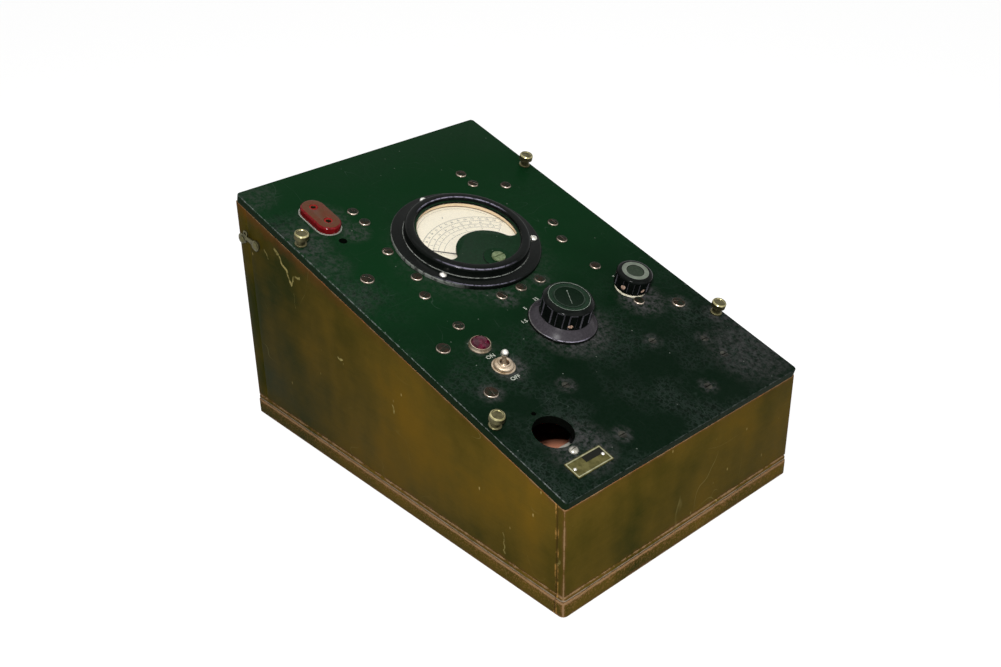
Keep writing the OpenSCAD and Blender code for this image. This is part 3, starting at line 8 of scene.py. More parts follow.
import bmesh
import bpy
from bpy.props import FloatProperty, FloatVectorProperty, IntProperty, PointerProperty
from mathutils import Matrix, Vector

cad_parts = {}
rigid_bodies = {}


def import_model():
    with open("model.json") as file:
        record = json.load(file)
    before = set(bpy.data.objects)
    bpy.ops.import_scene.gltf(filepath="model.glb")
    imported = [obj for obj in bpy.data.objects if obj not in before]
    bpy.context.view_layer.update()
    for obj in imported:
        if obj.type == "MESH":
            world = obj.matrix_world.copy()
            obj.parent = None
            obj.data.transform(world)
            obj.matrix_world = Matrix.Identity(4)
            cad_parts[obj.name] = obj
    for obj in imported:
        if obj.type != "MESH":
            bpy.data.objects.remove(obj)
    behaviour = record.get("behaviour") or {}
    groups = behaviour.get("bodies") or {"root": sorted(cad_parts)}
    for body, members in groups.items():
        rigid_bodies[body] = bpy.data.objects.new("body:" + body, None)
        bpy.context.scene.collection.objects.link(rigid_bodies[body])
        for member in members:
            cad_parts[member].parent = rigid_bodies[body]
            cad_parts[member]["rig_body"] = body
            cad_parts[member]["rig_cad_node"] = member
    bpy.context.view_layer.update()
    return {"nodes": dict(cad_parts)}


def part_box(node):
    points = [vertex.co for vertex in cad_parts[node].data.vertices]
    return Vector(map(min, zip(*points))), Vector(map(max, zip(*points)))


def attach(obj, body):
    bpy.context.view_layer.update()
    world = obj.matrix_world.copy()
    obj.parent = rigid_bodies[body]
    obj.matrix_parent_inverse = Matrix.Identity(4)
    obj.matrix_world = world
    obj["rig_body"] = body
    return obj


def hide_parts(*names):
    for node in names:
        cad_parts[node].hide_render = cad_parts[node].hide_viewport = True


bl_info = {
    "name": "Valve voltmeter",
    "version": (1, 0, 0),
    "blender": (4, 5, 0),
    "location": "View3D > Sidebar > Voltmeter",
    "description": "Builds the looks of a bench valve voltmeter round its packed parts",
    "category": "Object",
}

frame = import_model()
NODES = frame["nodes"]

# Millimetres to metres
MM = 0.001

# Middles of the pieces on the panel: to the right, and up the slope, in millimetres
METER = (0, 51.4)
RANGE = (0.5, -54.4)
ZERO = (74, -52.4)
TOGGLE = (-68.6, -67.6)
LAMP = (-69, -43.6)
JACKS = (-81.5, 124.14)
INLET = (-81.5, -131.04)
NAMEPLATE = (-80.5, -163.04)
SMALL_SCREWS = [
    (-68.4, 16.9), (68.4, 16.9), (-68.4, -20.3), (68.4, -20.3),
    (-54, 120.8), (54, 120.8), (-54, 106), (54, 106),
    (77, 92), (77, 36), (-60.5, 69.55), (-60.5, 36.05),
    (-19.3, -11), (-0.3, -11), (18.7, -11),
]
LARGE_SCREWS = [(-93, 51.5), (-93, -33), (-93, -82.5), (94, -84)]

# Deep scratches on the left wall: from and to (back, up), half width and strength
SCRATCHES = [
    (127, 163, 121, 158, 1.3, 0.7), (121, 158, 112, 148, 1.4, 0.9), (112, 148, 109, 140, 1.2, 0.9),
    (109, 140, 102, 150, 0.9, 0.7), (102, 150, 98, 149, 1.2, 0.7), (107, 133, 106, 122, 0.35, 0.3),
    (141, 158, 137, 152, 0.9, 0.5), (-118, 40, -119, 24, 0.6, 0.45), (57, 101, 51, 100, 1.0, 0.9),
    (-170.3, 46, -168.4, 43.5, 1.1, 0.7), (-5, 88, -7, 82, 0.8, 0.6),
]

# Where dust lies on the panel: to the right, up the slope, reach and strength
DUST = [
    (2, -62, 38, 0.95), (102, -150, 44, 0.5), (-112, 78, 26, 0.3), (-114, 40, 24, 0.2),
    (-104, 98, 18, 0.3), (ZERO[0] - 2, ZERO[1] - 14, 24, 0.9), (TOGGLE[0] + 3, TOGGLE[1] - 3, 16, 0.8),
    (*LAMP, 12, 0.6), (-6, 40, 73, 0.45), (INLET[0] + 6, INLET[1] - 20, 30, 0.6), (-80, 122, 26, 0.5),
    (-68, 100, 16, 0.5), (-112, 108, 30, 0.55), (-112, 176, 30, 0.35), (94, -84, 12, 0.6),
    (111, -108, 14, 0.6), (-93, -82.5, 12, 0.6), (-43.35, -103.4, 10, 0.5), (44.15, -103.4, 10, 0.5),
    (-43.35, -157.4, 10, 0.5), (44.15, -157.4, 10, 0.5), (80.8, -122, 10, 0.5), (80.8, -141, 13, 0.5),
    (-19, -14, 14, 0.6), (18.7, -11, 10, 0.6),
]


def linear(colour):
    """Turn an sRGB hex value into a linear colour."""
    parts = [int(colour[i:i + 2], 16) / 255 for i in (1, 3, 5)]
    return [p / 12.92 if p <= 0.04045 else ((p + 0.055) / 1.055) ** 2.4 for p in parts]


# Sizes and colours that a user would change


def length(name, text, value):
    return FloatProperty(name=name, description=text, default=value, unit="LENGTH", precision=4)


def turning(name, text, degrees):
    return FloatProperty(name=name, description=text, default=math.radians(degrees), unit="ROTATION")


def count(name, text, value, least):
    return IntProperty(name=name, description=text, default=value, min=least)


def tint(name, text, value):
    return FloatVectorProperty(
        name=name, description=text, default=linear(value), size=3, subtype="COLOR", min=0, max=1
    )


class CabinetSizes(bpy.types.PropertyGroup):
    width: length("Width", "Outside width of the wooden cabinet", 0.235)
    depth: length("Depth", "Outside depth of the wooden cabinet", 0.3475)
    front_height: length("Front height", "Height of the wood at the front, above the feet", 0.0844)
    foot_height: length("Foot height", "Height of the rubber feet", 0.003)
    slope: turning("Slope", "Slope of the panel", 16.1)
    arris: length("Arris", "Radius of the worn edges of the boards", 0.0008)


class PanelSizes(bpy.types.PropertyGroup):
    thickness: length("Thickness", "Thickness of the metal panel", 0.0064)
    small_screw: length("Small screw", "Radius of the small round heads", 0.0043)
    large_screw: length("Large screw", "Radius of the large round heads", 0.0052)
    screw_height: length("Screw height", "Height of the round heads", 0.0017)
    thumb_head: length("Thumb screw head", "Radius of the knurled heads", 0.00535)
    thumb_top: length("Thumb screw top", "Height of a thumb screw above the panel", 0.0107)
    knurls: count("Knurls", "Ridges round a thumb screw", 44, 12)


class MeterSizes(bpy.types.PropertyGroup):
    flange: length("Flange", "Radius of the cover's flange", 0.0572)
    bezel: length("Bezel", "Outer radius of the raised bezel", 0.0478)
    recess: length("Recess", "Radius of the recess inside the bezel", 0.0406)
    window: length("Window", "Outer radius of the crescent window", 0.0387)
    hump: length("Hump", "Radius of the hump that covers the movement", 0.0267)
    scale_radius: length("Scale", "Radius of the outer scale about the pivot", 0.0533)
    sweep: turning("Sweep", "Angle from straight up to the zero mark", 49)


class ControlSizes(bpy.types.PropertyGroup):
    skirt: length("Skirt", "Radius of the range knob's skirt", 0.0255)
    grip: length("Grip", "Radius of the range knob's fluted grip", 0.0188)
    range_top: length("Range knob top", "Height of the range knob", 0.0234)
    range_flutes: count("Range flutes", "Flutes round the range knob", 12, 6)
    zero: length("Zero knob", "Radius of the zero knob", 0.0138)
    zero_top: length("Zero knob top", "Height of the zero knob", 0.0161)
    zero_flutes: count("Zero flutes", "Flutes round the zero knob", 10, 6)
    ball: length("Ball", "Radius of the ball on the power lever", 0.0027)
    jewel: length("Jewel", "Radius of the pilot lamp's jewel", 0.0067)


class TerminalSizes(bpy.types.PropertyGroup):
    jack: length("Jack", "Outer radius of an input jack", 0.0033)
    name_width: length("Nameplate width", "Width of the bare nameplate", 0.032)
    name_height: length("Nameplate height", "Height of the bare nameplate", 0.014)


class Finishes(bpy.types.PropertyGroup):
    wood: tint("Wood", "Oiled hardwood", "#584818")
    wood_warm: tint("Warm wood", "Golden brown, where the stain is rubbed thin", "#795a18")
    wood_dark: tint("Dark grain", "Dark streaks of the hardwood", "#2a2d07")
    bare_wood: tint("Bare wood", "Wood that shows where the arrises are worn", "#8a6f50")
    enamel: tint("Enamel", "Black crackle enamel at the rear, with its green cast", "#0a2c14")
    enamel_front: tint("Front enamel", "The same enamel at the front, where it is darker", "#07170c")
    dust: tint("Dust", "Dust that lies round the knobs", "#4e4c4d")
    letters: tint("Letters", "White paint in the engraved letters", "#b4b8ac")
    moulding: tint("Moulding", "Black phenolic moulding", "#080b09")
    dial: tint("Dial", "Cream paint of the dial", "#f6eed8")
    ink: tint("Ink", "Printing on the dial", "#2c2b26")
    brass: tint("Brass", "Aged brass", "#625e43")
    nickel: tint("Nickel", "Dull nickel plate", "#9c998f")
    jewel: tint("Jewel", "Deep red jewel", "#4c0620")
    red_plate: tint("Terminal plate", "Red brown phenolic", "#741014")


GROUPS = {
    "voltmeter_cabinet": CabinetSizes,
    "voltmeter_panel": PanelSizes,
    "voltmeter_meter": MeterSizes,
    "voltmeter_controls": ControlSizes,
    "voltmeter_terminals": TerminalSizes,
    "voltmeter_finishes": Finishes,
}


def sizes(name):
    return getattr(bpy.context.scene, "voltmeter_" + name)


def mm(group, *names):
    """Some of a user's sizes, in millimetres."""
    return [getattr(sizes(group), name) / MM for name in names]


def half_length():
    """Half the panel's length up its slope, in metres."""
    return sizes("cabinet").depth / math.cos(sizes("cabinet").slope) / 2


def panel_matrix(place=(0, 0), height=0, turn=0):
    """The panel's own frame at a place on it, as a matrix in metres."""
    cabinet, panel = sizes("cabinet"), sizes("panel")
    top = cabinet.foot_height + cabinet.front_height + cabinet.depth / 2 * math.tan(cabinet.slope)
    return (
        Matrix.Translation((0, 0, top))
        @ Matrix.Rotation(cabinet.slope, 4, "X")
        @ Matrix.Translation((place[0] * MM, place[1] * MM, panel.thickness + height * MM))
        @ Matrix.Rotation(math.radians(turn), 4, "Z")
    )


def facing(x=0, y=0, z=1):
    """A direction in the panel's own frame, or straight out of its face."""
    return panel_matrix().to_3x3() @ Vector((x, y, z))


def polar(centre, radius, degrees):
    """A place at a radius and angle from a centre, in millimetres."""
    angle = math.radians(degrees)
    return centre[0] + radius * math.cos(angle), centre[1] + radius * math.sin(angle)


# Modelling helpers, which take millimetres


def only(*objects):
    """Leave just these objects selected, the first one active."""
    if bpy.context.object and bpy.context.object.mode != "OBJECT":
        bpy.ops.object.mode_set(mode="OBJECT")
    bpy.ops.object.select_all(action="DESELECT")
    for obj in objects:
        obj.select_set(True)
    bpy.context.view_layer.objects.active = objects[0]


def named(name):
    """Give the new active object its name, its size and its place in its mesh."""
    obj = bpy.context.object
    obj.name = obj.data.name = name
    only(obj)
    bpy.ops.object.transform_apply(location=True, rotation=True, scale=True)
    return obj


def placed(obj, matrix):
    """Move a piece, and keep its place in its mesh."""
    obj.matrix_world = matrix @ obj.matrix_world
    only(obj)
    bpy.ops.object.transform_apply(location=True, rotation=True, scale=True)
    return obj


def block(name, low, high):
    """A box between two corners, ready to be shaped."""
    middle = [(a + b) / 2 * MM for a, b in zip(low, high)]
    size = [(b - a) * MM for a, b in zip(low, high)]
    bpy.ops.mesh.primitive_cube_add(size=1, location=middle, scale=size)
    return named(name)


def drum(name, radius, low, high, place=(0, 0), sides=64):
    """A cylinder between two heights, ready to be shaped."""
    bpy.ops.mesh.primitive_cylinder_add(
        vertices=sides, radius=radius * MM, depth=(high - low) * MM,
        location=(place[0] * MM, place[1] * MM, (low + high) / 2 * MM),
    )
    return named(name)


def pick(obj, kind, test):
    """Go into edit mode with only the faces, edges or vertices that pass the test."""
    only(obj)
    bpy.ops.object.mode_set(mode="EDIT")
    bpy.ops.mesh.select_mode(type=kind)
    bpy.ops.mesh.select_all(action="DESELECT")
    mesh = bmesh.from_edit_mesh(obj.data)
    for part in {"FACE": mesh.faces, "EDGE": mesh.edges, "VERT": mesh.verts}[kind]:
        part.select_set(bool(test(part)))
    mesh.select_flush_mode()
    bmesh.update_edit_mesh(obj.data)


@contextmanager
def picked(obj, kind, test=lambda part: True):
    """Edit mode for as long as the block runs, with only the parts that pass the test."""
    pick(obj, kind, test)
    yield
    bpy.ops.object.mode_set(mode="OBJECT")


def middle(part):
    """The middle of an edge or face, in millimetres."""
    return sum((v.co for v in part.verts), Vector()) / len(part.verts) / MM


def sharp(edge):
    return len(edge.link_faces) == 2 and edge.calc_face_angle(0) >= math.radians(40)


def turned(name, profile, steps=96, closed=False):
    """Spin a profile of (radius, height) points about the Z axis into a solid."""
    bpy.ops.mesh.primitive_plane_add(size=MM)
    obj = named(name)
    points = list(profile) + ([profile[0]] if closed else [])
    with picked(obj, "VERT"):
        bpy.ops.mesh.merge(type="CENTER")
        bpy.ops.transform.translate(value=(points[0][0] * MM, 0, points[0][1] * MM))
        for a, b in zip(points, points[1:]):
            bpy.ops.mesh.extrude_vertices_move(
                TRANSFORM_OT_translate={"value": ((b[0] - a[0]) * MM, 0, (b[1] - a[1]) * MM)}
            )
        bpy.ops.mesh.select_all(action="SELECT")
        bpy.ops.mesh.spin(steps=steps, angle=math.tau, center=(0, 0, 0), axis=(0, 0, 1))
        bpy.ops.mesh.select_all(action="SELECT")
        bpy.ops.mesh.remove_doubles(threshold=0.002 * MM)
        bpy.ops.mesh.normals_make_consistent(inside=False)
    return obj


def arc(middle_r, middle_h, radius, start, end, count=6):
    """Points of an arc in a profile, with its angles in degrees."""
    return [
        polar((middle_r, middle_h), radius, start + (end - start) * k / count) for k in range(count + 1)
    ]


def modify(obj, kind, **settings):
    """Add one modifier, and apply it."""
    only(obj)
    modifier = obj.modifiers.new(kind.lower(), kind)
    for key, value in settings.items():
        setattr(modifier, key, value)
    bpy.ops.object.modifier_apply(modifier=modifier.name)
    return obj


def soften(obj, width, segments=2, angle=35):
    """Round the sharp edges of a piece."""
    return modify(
        obj, "BEVEL", width=width * MM, segments=segments, limit_method="ANGLE",
        angle_limit=math.radians(angle), use_clamp_overlap=True,
    )


def cut(obj, tool, operation="DIFFERENCE"):
    """Cut a piece with a tool, and take the tool away."""
    modify(obj, "BOOLEAN", object=tool, operation=operation, solver="EXACT")
    bpy.data.objects.remove(tool)
    return obj


def copied(obj, name):
    """A copy of a piece with a mesh of its own."""
    only(obj)
    bpy.ops.object.duplicate(linked=False)
    new = bpy.context.object
    new.name = new.data.name = name
    return new


def joined(name, objects):
    only(*objects)
    bpy.ops.object.join()
    obj = bpy.context.object
    obj.name = obj.data.name = name
    return obj


def node_copy(node, name):
    """A merged copy of a CAD node's mesh, as a piece that can be shaped."""
    NODES[node].hide_set(False)
    obj = copied(NODES[node], name)
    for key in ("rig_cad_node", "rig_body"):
        if key in obj:
            del obj[key]
    obj.parent = None
    obj.data.materials.clear()
    bpy.ops.mesh.customdata_custom_splitnormals_clear()
    with picked(obj, "VERT"):
        bpy.ops.mesh.remove_doubles(threshold=0.002 * MM)
        bpy.ops.mesh.dissolve_limited(angle_limit=math.radians(0.5))
    return obj


def painted(obj, first, *others):
    """Give a piece one material all over, and each other one on the faces that pass its test."""
    obj.data.materials.append(finish(first))
    for index, (name, test) in enumerate(others, 1):
        obj.data.materials.append(finish(name))
        with picked(obj, "FACE", test):
            obj.active_material_index = index
            bpy.ops.object.material_slot_assign()
    return obj


def dress(obj, body, material=None, replaces=(), angle=32):
    """Give a finished piece its material, and seat it on its CAD body."""
    only(obj)
    bpy.ops.object.shade_smooth_by_angle(angle=math.radians(angle))
    if material:
        obj.data.materials.clear()
        obj.data.materials.append(finish(material))
    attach(obj, body)
    if replaces:
        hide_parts(*replaces)
    return obj


def coat(material, *nodes):
    """Give CAD nodes that keep their own shape a material."""
    for node in nodes:
        NODES[node].data.materials.clear()
        NODES[node].data.materials.append(finish(material))


def lettering(name, text, size, place, turn=0, height=0.0, thickness=0.06, bold=0.03):
    """Flat letters on the panel, made a mesh before they are put in place."""
    bpy.ops.object.text_add()
    obj = bpy.context.object
    obj.data.body = text
    obj.data.size = size * MM
    obj.data.align_x = obj.data.align_y = "CENTER"
    obj.data.extrude = thickness / 2 * MM
    obj.data.offset = bold * MM
    obj.data.resolution_u = 3
    only(obj)
    bpy.ops.object.convert(target="MESH")
    return placed(named(name), panel_matrix(place, height + thickness / 2, turn))


# Materials


def tone(value):
    """A linear colour from a hex value, or from a user's colour by its name and a factor."""
    if value.startswith("#"):
        return linear(value)
    name, _, factor = value.partition(" ")
    return [part * float(factor or 1) for part in getattr(sizes("finishes"), name)]


# The setting that a word after the dot in a node's kind stands for
CHOICES = {
    "Math": "operation", "VectorMath": "operation", "Mix": "data_type", "Mapping": "vector_type",
    "MapRange": "interpolation_type", "TexVoronoi": "feature",
}


def add(tree, kind, *values, stops=(), **rest):
    """Add one node: its open inputs in order, then its settings (lower case) and other inputs by name.

    A node given as an input links its first open output, and a text is a colour.
    """
    kind, _, choice = kind.partition(".")
    node = tree.nodes.new("ShaderNode" + kind)
    if choice:
        setattr(node, CHOICES[kind], choice)
    for key in [key for key in rest if key.islower()]:
        setattr(node, key, rest.pop(key))
    for index, (position, colour) in enumerate(stops):
        ramp = node.color_ramp.elements
        element = ramp[index] if index < len(ramp) else ramp.new(1)
        element.position = position
        element.color = (*(tone(colour) if isinstance(colour, str) else colour), 1)
    links = list(zip([socket for socket in node.inputs if socket.enabled], values))
    links += [(node.inputs[key.replace("_", " ")], value) for key, value in rest.items()]
    for socket, value in links:
        if isinstance(value, bpy.types.Node):
            value = next(output for output in value.outputs if output.enabled)
        if isinstance(value, bpy.types.NodeSocket):
            tree.links.new(value, socket)
        elif isinstance(value, str):
            socket.default_value = (*tone(value), 1)
        else:
            socket.default_value = value
    return node


def emptied(tree):
    """Clear a tree, and give back the way to add nodes to it."""
    tree.nodes.clear()
    return partial(add, tree)


def finish(name):
    """Find a material, or make it from its row in MATERIALS, with its layers one over another."""
    made = bpy.data.materials.get(name)
    if made:
        return made
    made = bpy.data.materials.new(name)
    made.use_nodes = True
    node = emptied(made.node_tree)
    maker, *details = MATERIALS[name]
    look = maker(node, node("TexCoord").outputs["Object"], *details)
    if isinstance(look, dict):
        for mask, over in look.pop("layers", ()):
            look["Base_Color"] = node("Mix.RGBA", mask, look["Base_Color"], over)
        look = node("BsdfPrincipled", **look)
    node("OutputMaterial", look)
    return made


def metal(node, place, base, dark, roughness):
    """Plated or bare metal: colour clouds, fine pits and uneven gloss."""
    cloud = node("TexNoise", place, 220.0, 5.0)
    # Pits are 0.9 mm apart
    pits = node("TexNoise", place, 1 / (0.9 * MM), 3.0)
    return {
        "Metallic": 1.0,
        "Base_Color": node("ValToRGB", cloud, stops=((0.35, dark), (0.62, base))),
        "Roughness": node("MapRange", cloud, To_Min=roughness + 0.15, To_Max=roughness - 0.05),
        "Normal": node("Bump", Height=pits, Distance=0.00004, Strength=0.5),
    }


def moulded(node, place, base, speck, roughness, gloss=0.1, bump=0.00001):
    """Moulded or cast: filler mottle, fine scratches and dull patches."""
    mottle = node("TexNoise", place, 500.0, 6.0, 0.7)
    haze = node("TexNoise", place, 90.0, 4.0)
    fine = node("TexNoise", place, 1600.0, 2.0)
    return {
        "IOR": 1.45,
        "Specular_IOR_Level": gloss,
        "Base_Color": node("ValToRGB", mottle, stops=((0.42, base), (0.66, speck))),
        "Roughness": node("MapRange", haze, 0.3, 0.7, roughness - 0.08, roughness + 0.16),
        "Normal": node("Bump", Height=fine, Distance=bump, Strength=0.4),
    }


def film(node, place, base, roughness=0.6):
    """A thin film of paint or ink with small gaps of tone."""
    worn = node("TexNoise", place, 900.0, 3.0)
    thin = [part * 0.6 for part in tone(base)]
    return {
        "IOR": 1.45,
        "Specular_IOR_Level": 0.1,
        "Roughness": roughness,
        "Base_Color": node("ValToRGB", worn, stops=((0.3, thin), (0.42, base))),
    }


def rubbed_rings(node, place, look, centre, rings, hue, width=1):
    """Pale lines round a turned piece, for bare wear and for painted highlights: each has a radius, a way it
    faces in degrees, and a reach.
    """
    offset = node("VectorMath.SUBTRACT", place, panel_matrix(centre).translation)
    radius = node("VectorMath.LENGTH", node("VectorMath.CROSS_PRODUCT", offset, facing()))
    bare = 0.0
    for circle, towards, spread in rings:
        off = node("Math.ABSOLUTE", node("Math.SUBTRACT", radius, circle * MM))
        side = node("VectorMath.DOT_PRODUCT", offset, facing(*polar((0, 0), 1, towards), 0))
        reach = node("MapRange", side, circle * spread * MM, circle * (spread + 0.3) * MM)
        line = node("MapRange", off, 0.1 * width * MM, 0.34 * width * MM, 0.7, 0.0)
        bare = node("Math.MAXIMUM", bare, node("Math.MULTIPLY", line, reach))
    broken = node("MapRange", node("TexNoise", place, 330.0, 4.0), 0.38, 0.5, 0.25, 1.0)
    look.setdefault("layers", []).append((node("Math.MULTIPLY", bare, broken), hue))
    return look


def cover_phenolic(node, place):
    """The meter's cover: glossy, rubbed pale on its outer edge and at the bezel's foot, with painted violet
    highlights on its rims.
    """
    bezel, recess = mm("meter", "bezel", "recess")
    look = moulded(node, place, "moulding", "moulding 1.65", 0.12, 0.07, 0.000002)
    rubbed = (57.05, 172, 0.5), (48.3, 195, 0.2), (48.4, 250, 0.5)
    # Painted highlights: violet arcs on the front of the bezel, on the far rim of the recess and on the
    # flange's front edge
    sheen = (bezel - 1.1, 238, 0.74), (recess + 0.6, 62, 0.5), (56.3, 240, 0.8)
    rubbed_rings(node, place, look, METER, rubbed, "#8f938c")
    return rubbed_rings(node, place, look, METER, sheen, "#9f9aae", 1.5)


def worn_phenolic(node, place):
    """The range knob's skirt: dark violet grey, lightened also as a broad painted sheen, with a pale worn
    line and a painted violet highlight on its rim.
    """
    rim = mm("controls", "skirt")[0] - 0.9
    look = moulded(node, place, "#2f2c30", "#3b373c", 0.27, 0.12)
    rubbed_rings(node, place, look, RANGE, [(rim, 178, 0.3)], "#77776f")
    # Painted highlight: a violet-white line along the front of the rim
    return rubbed_rings(node, place, look, RANGE, [(rim - 0.1, 232, 0.68)], "#b3adc0", 1.2)


def polished_phenolic(node, place):
    # Painted reflection: a green cast on the cover's flat faces; the white specks are dust
    look = moulded(node, place, "#0c2613", "#112e1a", 0.22, 0.03)
    fleck = node("MapRange", node("TexVoronoi.F1", place, 170.0), 0.03, 0.07, 0.6, 0.0)
    return look | {"layers": [(fleck, "#8d9488")]}


def red_phenolic(node, place):
    look = moulded(node, place, "red_plate 0.6", "red_plate 1.3", 0.16, 0.12)
    level = node("VectorMath.DOT_PRODUCT", node("NewGeometry").outputs["Normal"], facing())
    stain = node("MapRange", node("TexNoise", place, 260.0, 4.0), 0.3, 0.55, 0.7, 1.0)
    lying = node("Math.MULTIPLY", node("MapRange", level, 0.8, 0.97, 0.0, 0.95), stain)
    return look | {"layers": [(lying, "#573621")]}


def dial_cream(node, place):
    """The raised surround has browned, with a painted shadow line at its foot."""
    look = moulded(node, place, "dial", "dial 0.93", 0.55)
    offset = node("VectorMath.SUBTRACT", place, panel_matrix(METER).translation)
    height = node("VectorMath.DOT_PRODUCT", offset, facing())
    foot = node("MapRange", height, 0.00252, 0.00254, 0.0, 1.0)
    # Painted shadow: a dark line at the foot of the surround, under the glass's edge
    line = node("Math.MULTIPLY", foot, node("MapRange", height, 0.0031, 0.0034, 0.95, 0.0))
    raised = node("MapRange", height, 0.00255, 0.0026, 0.0, 1.0)
    return look | {"layers": [(raised, "#e0c9a8"), (line, "#4d3a24")]}


def dirty_screw(node, place):
    look = metal(node, place, "#c2b3a4", "#7d7266", 0.3)
    normal = node("NewGeometry").outputs["Normal"]
    level = node("VectorMath.DOT_PRODUCT", normal, facing())
    stain = node("TexNoise", place, 300.0, 4.0)
    # Painted dark reflection over the crown, which faces up
    crown = node("MapRange", node("Math.MULTIPLY_ADD", stain, 0.3, level), 0.88, 1.0, 0.0, 1.0)
    # Painted highlight: only the side towards the lamp keeps its bare plate; the other sides are darkened as
    # painted shade
    side = node("VectorMath.DOT_PRODUCT", normal, facing(-0.6, -0.66, 0.45))
    dirt = node("Math.MAXIMUM", crown, node("MapRange", side, 0.35, 0.75, 0.85, 0.0))
    grime = node("Mix.RGBA", node("MapRange", stain, 0.42, 0.6), "#1a221a", "#2c221a")
    return look | {
        "Specular_IOR_Level": 0.03,
        "Metallic": node("Math.SUBTRACT", 1.0, dirt),
        "layers": [(dirt, grime)],
    }


def jewel_glass(node, place):
    depth = node("TexNoise", place, 240.0, 2.0)
    return {
        "IOR": 1.55,
        "Specular_IOR_Level": 0.14,
        "Roughness": 0.06,
        "Transmission_Weight": 0.1,
        "Base_Color": node("ValToRGB", depth, stops=((0.35, "jewel 0.5"), (0.65, "jewel 1.3"))),
    }


def clear_glass(node, place):
    """Light goes straight through, and a gloss grows towards the edges as it does on glass."""
    smear = node("MapRange", node("TexNoise", place, 60.0), To_Min=0.0, To_Max=0.06)
    steep = node("Math.POWER", node("LayerWeight", 0.5).outputs["Facing"], 5.0)
    fresnel = node("Math.MULTIPLY_ADD", steep, 0.96, 0.035)
    clear = node("BsdfTransparent", (1, 1, 1, 1))
    return node("MixShader", fresnel, clear, node("BsdfGlossy", Roughness=smear))


def seen(node):
    """One for the rays that see the floor and the world themselves, and nothing for their light."""
    path = node("LightPath").outputs
    glossy = node("Math.MAXIMUM", path["Is Camera Ray"], path["Is Glossy Ray"])
    return node("Math.MAXIMUM", glossy, path["Is Transmission Ray"])


def floor_paper(node, place):
    plain = node("BsdfPrincipled", Base_Color="#8a8a89", Roughness=0.9, IOR=1.3)
    glow = node("Emission", (1, 1, 1, 1), node("Math.MULTIPLY", seen(node), 0.9))
    return node("AddShader", plain, glow)


def scratches(node, place, scale, width, patches, turn):
    """Hairline scratches: the level line of a stretched noise, kept only in patches."""
    line = node("TexNoise", node("Mapping", place, Rotation=turn, Scale=scale), 1.0, 1.0)
    off = node("Math.ABSOLUTE", node("Math.SUBTRACT", line, 0.5))
    patch = node("MapRange", node("TexNoise", place, patches, 4.0), 0.56, 0.66)
    return node("Math.MULTIPLY", node("MapRange", off, 0.0, width, 1.0, 0.0), patch)


def stroke(node, split, start, end, width, power):
    """One scratch on the left wall: near a line between two places (back, up), in millimetres."""
    (ax, ay), (bx, by) = start, end
    long = math.hypot(bx - ax, by - ay)
    along = ((bx - ax) / long, (by - ay) / long)
    px = node("Math.SUBTRACT", split["Y"], ax * MM)
    py = node("Math.SUBTRACT", split["Z"], ay * MM)
    travel = node("Math.MULTIPLY_ADD", px, along[0], node("Math.MULTIPLY", py, along[1]))
    held = node("Math.MINIMUM", node("Math.MAXIMUM", travel, 0.0), long * MM)
    off_x = node("Math.MULTIPLY_ADD", held, -along[0], px)
    off_y = node("Math.MULTIPLY_ADD", held, -along[1], py)
    square = node("Math.MULTIPLY_ADD", off_x, off_x, node("Math.MULTIPLY", off_y, off_y))
    near = node("MapRange", node("Math.SQRT", square), width * 0.4 * MM, width * MM, power, 0.0)
    return node("Math.MULTIPLY", near, node("MapRange", split["X"], -0.116, -0.117))


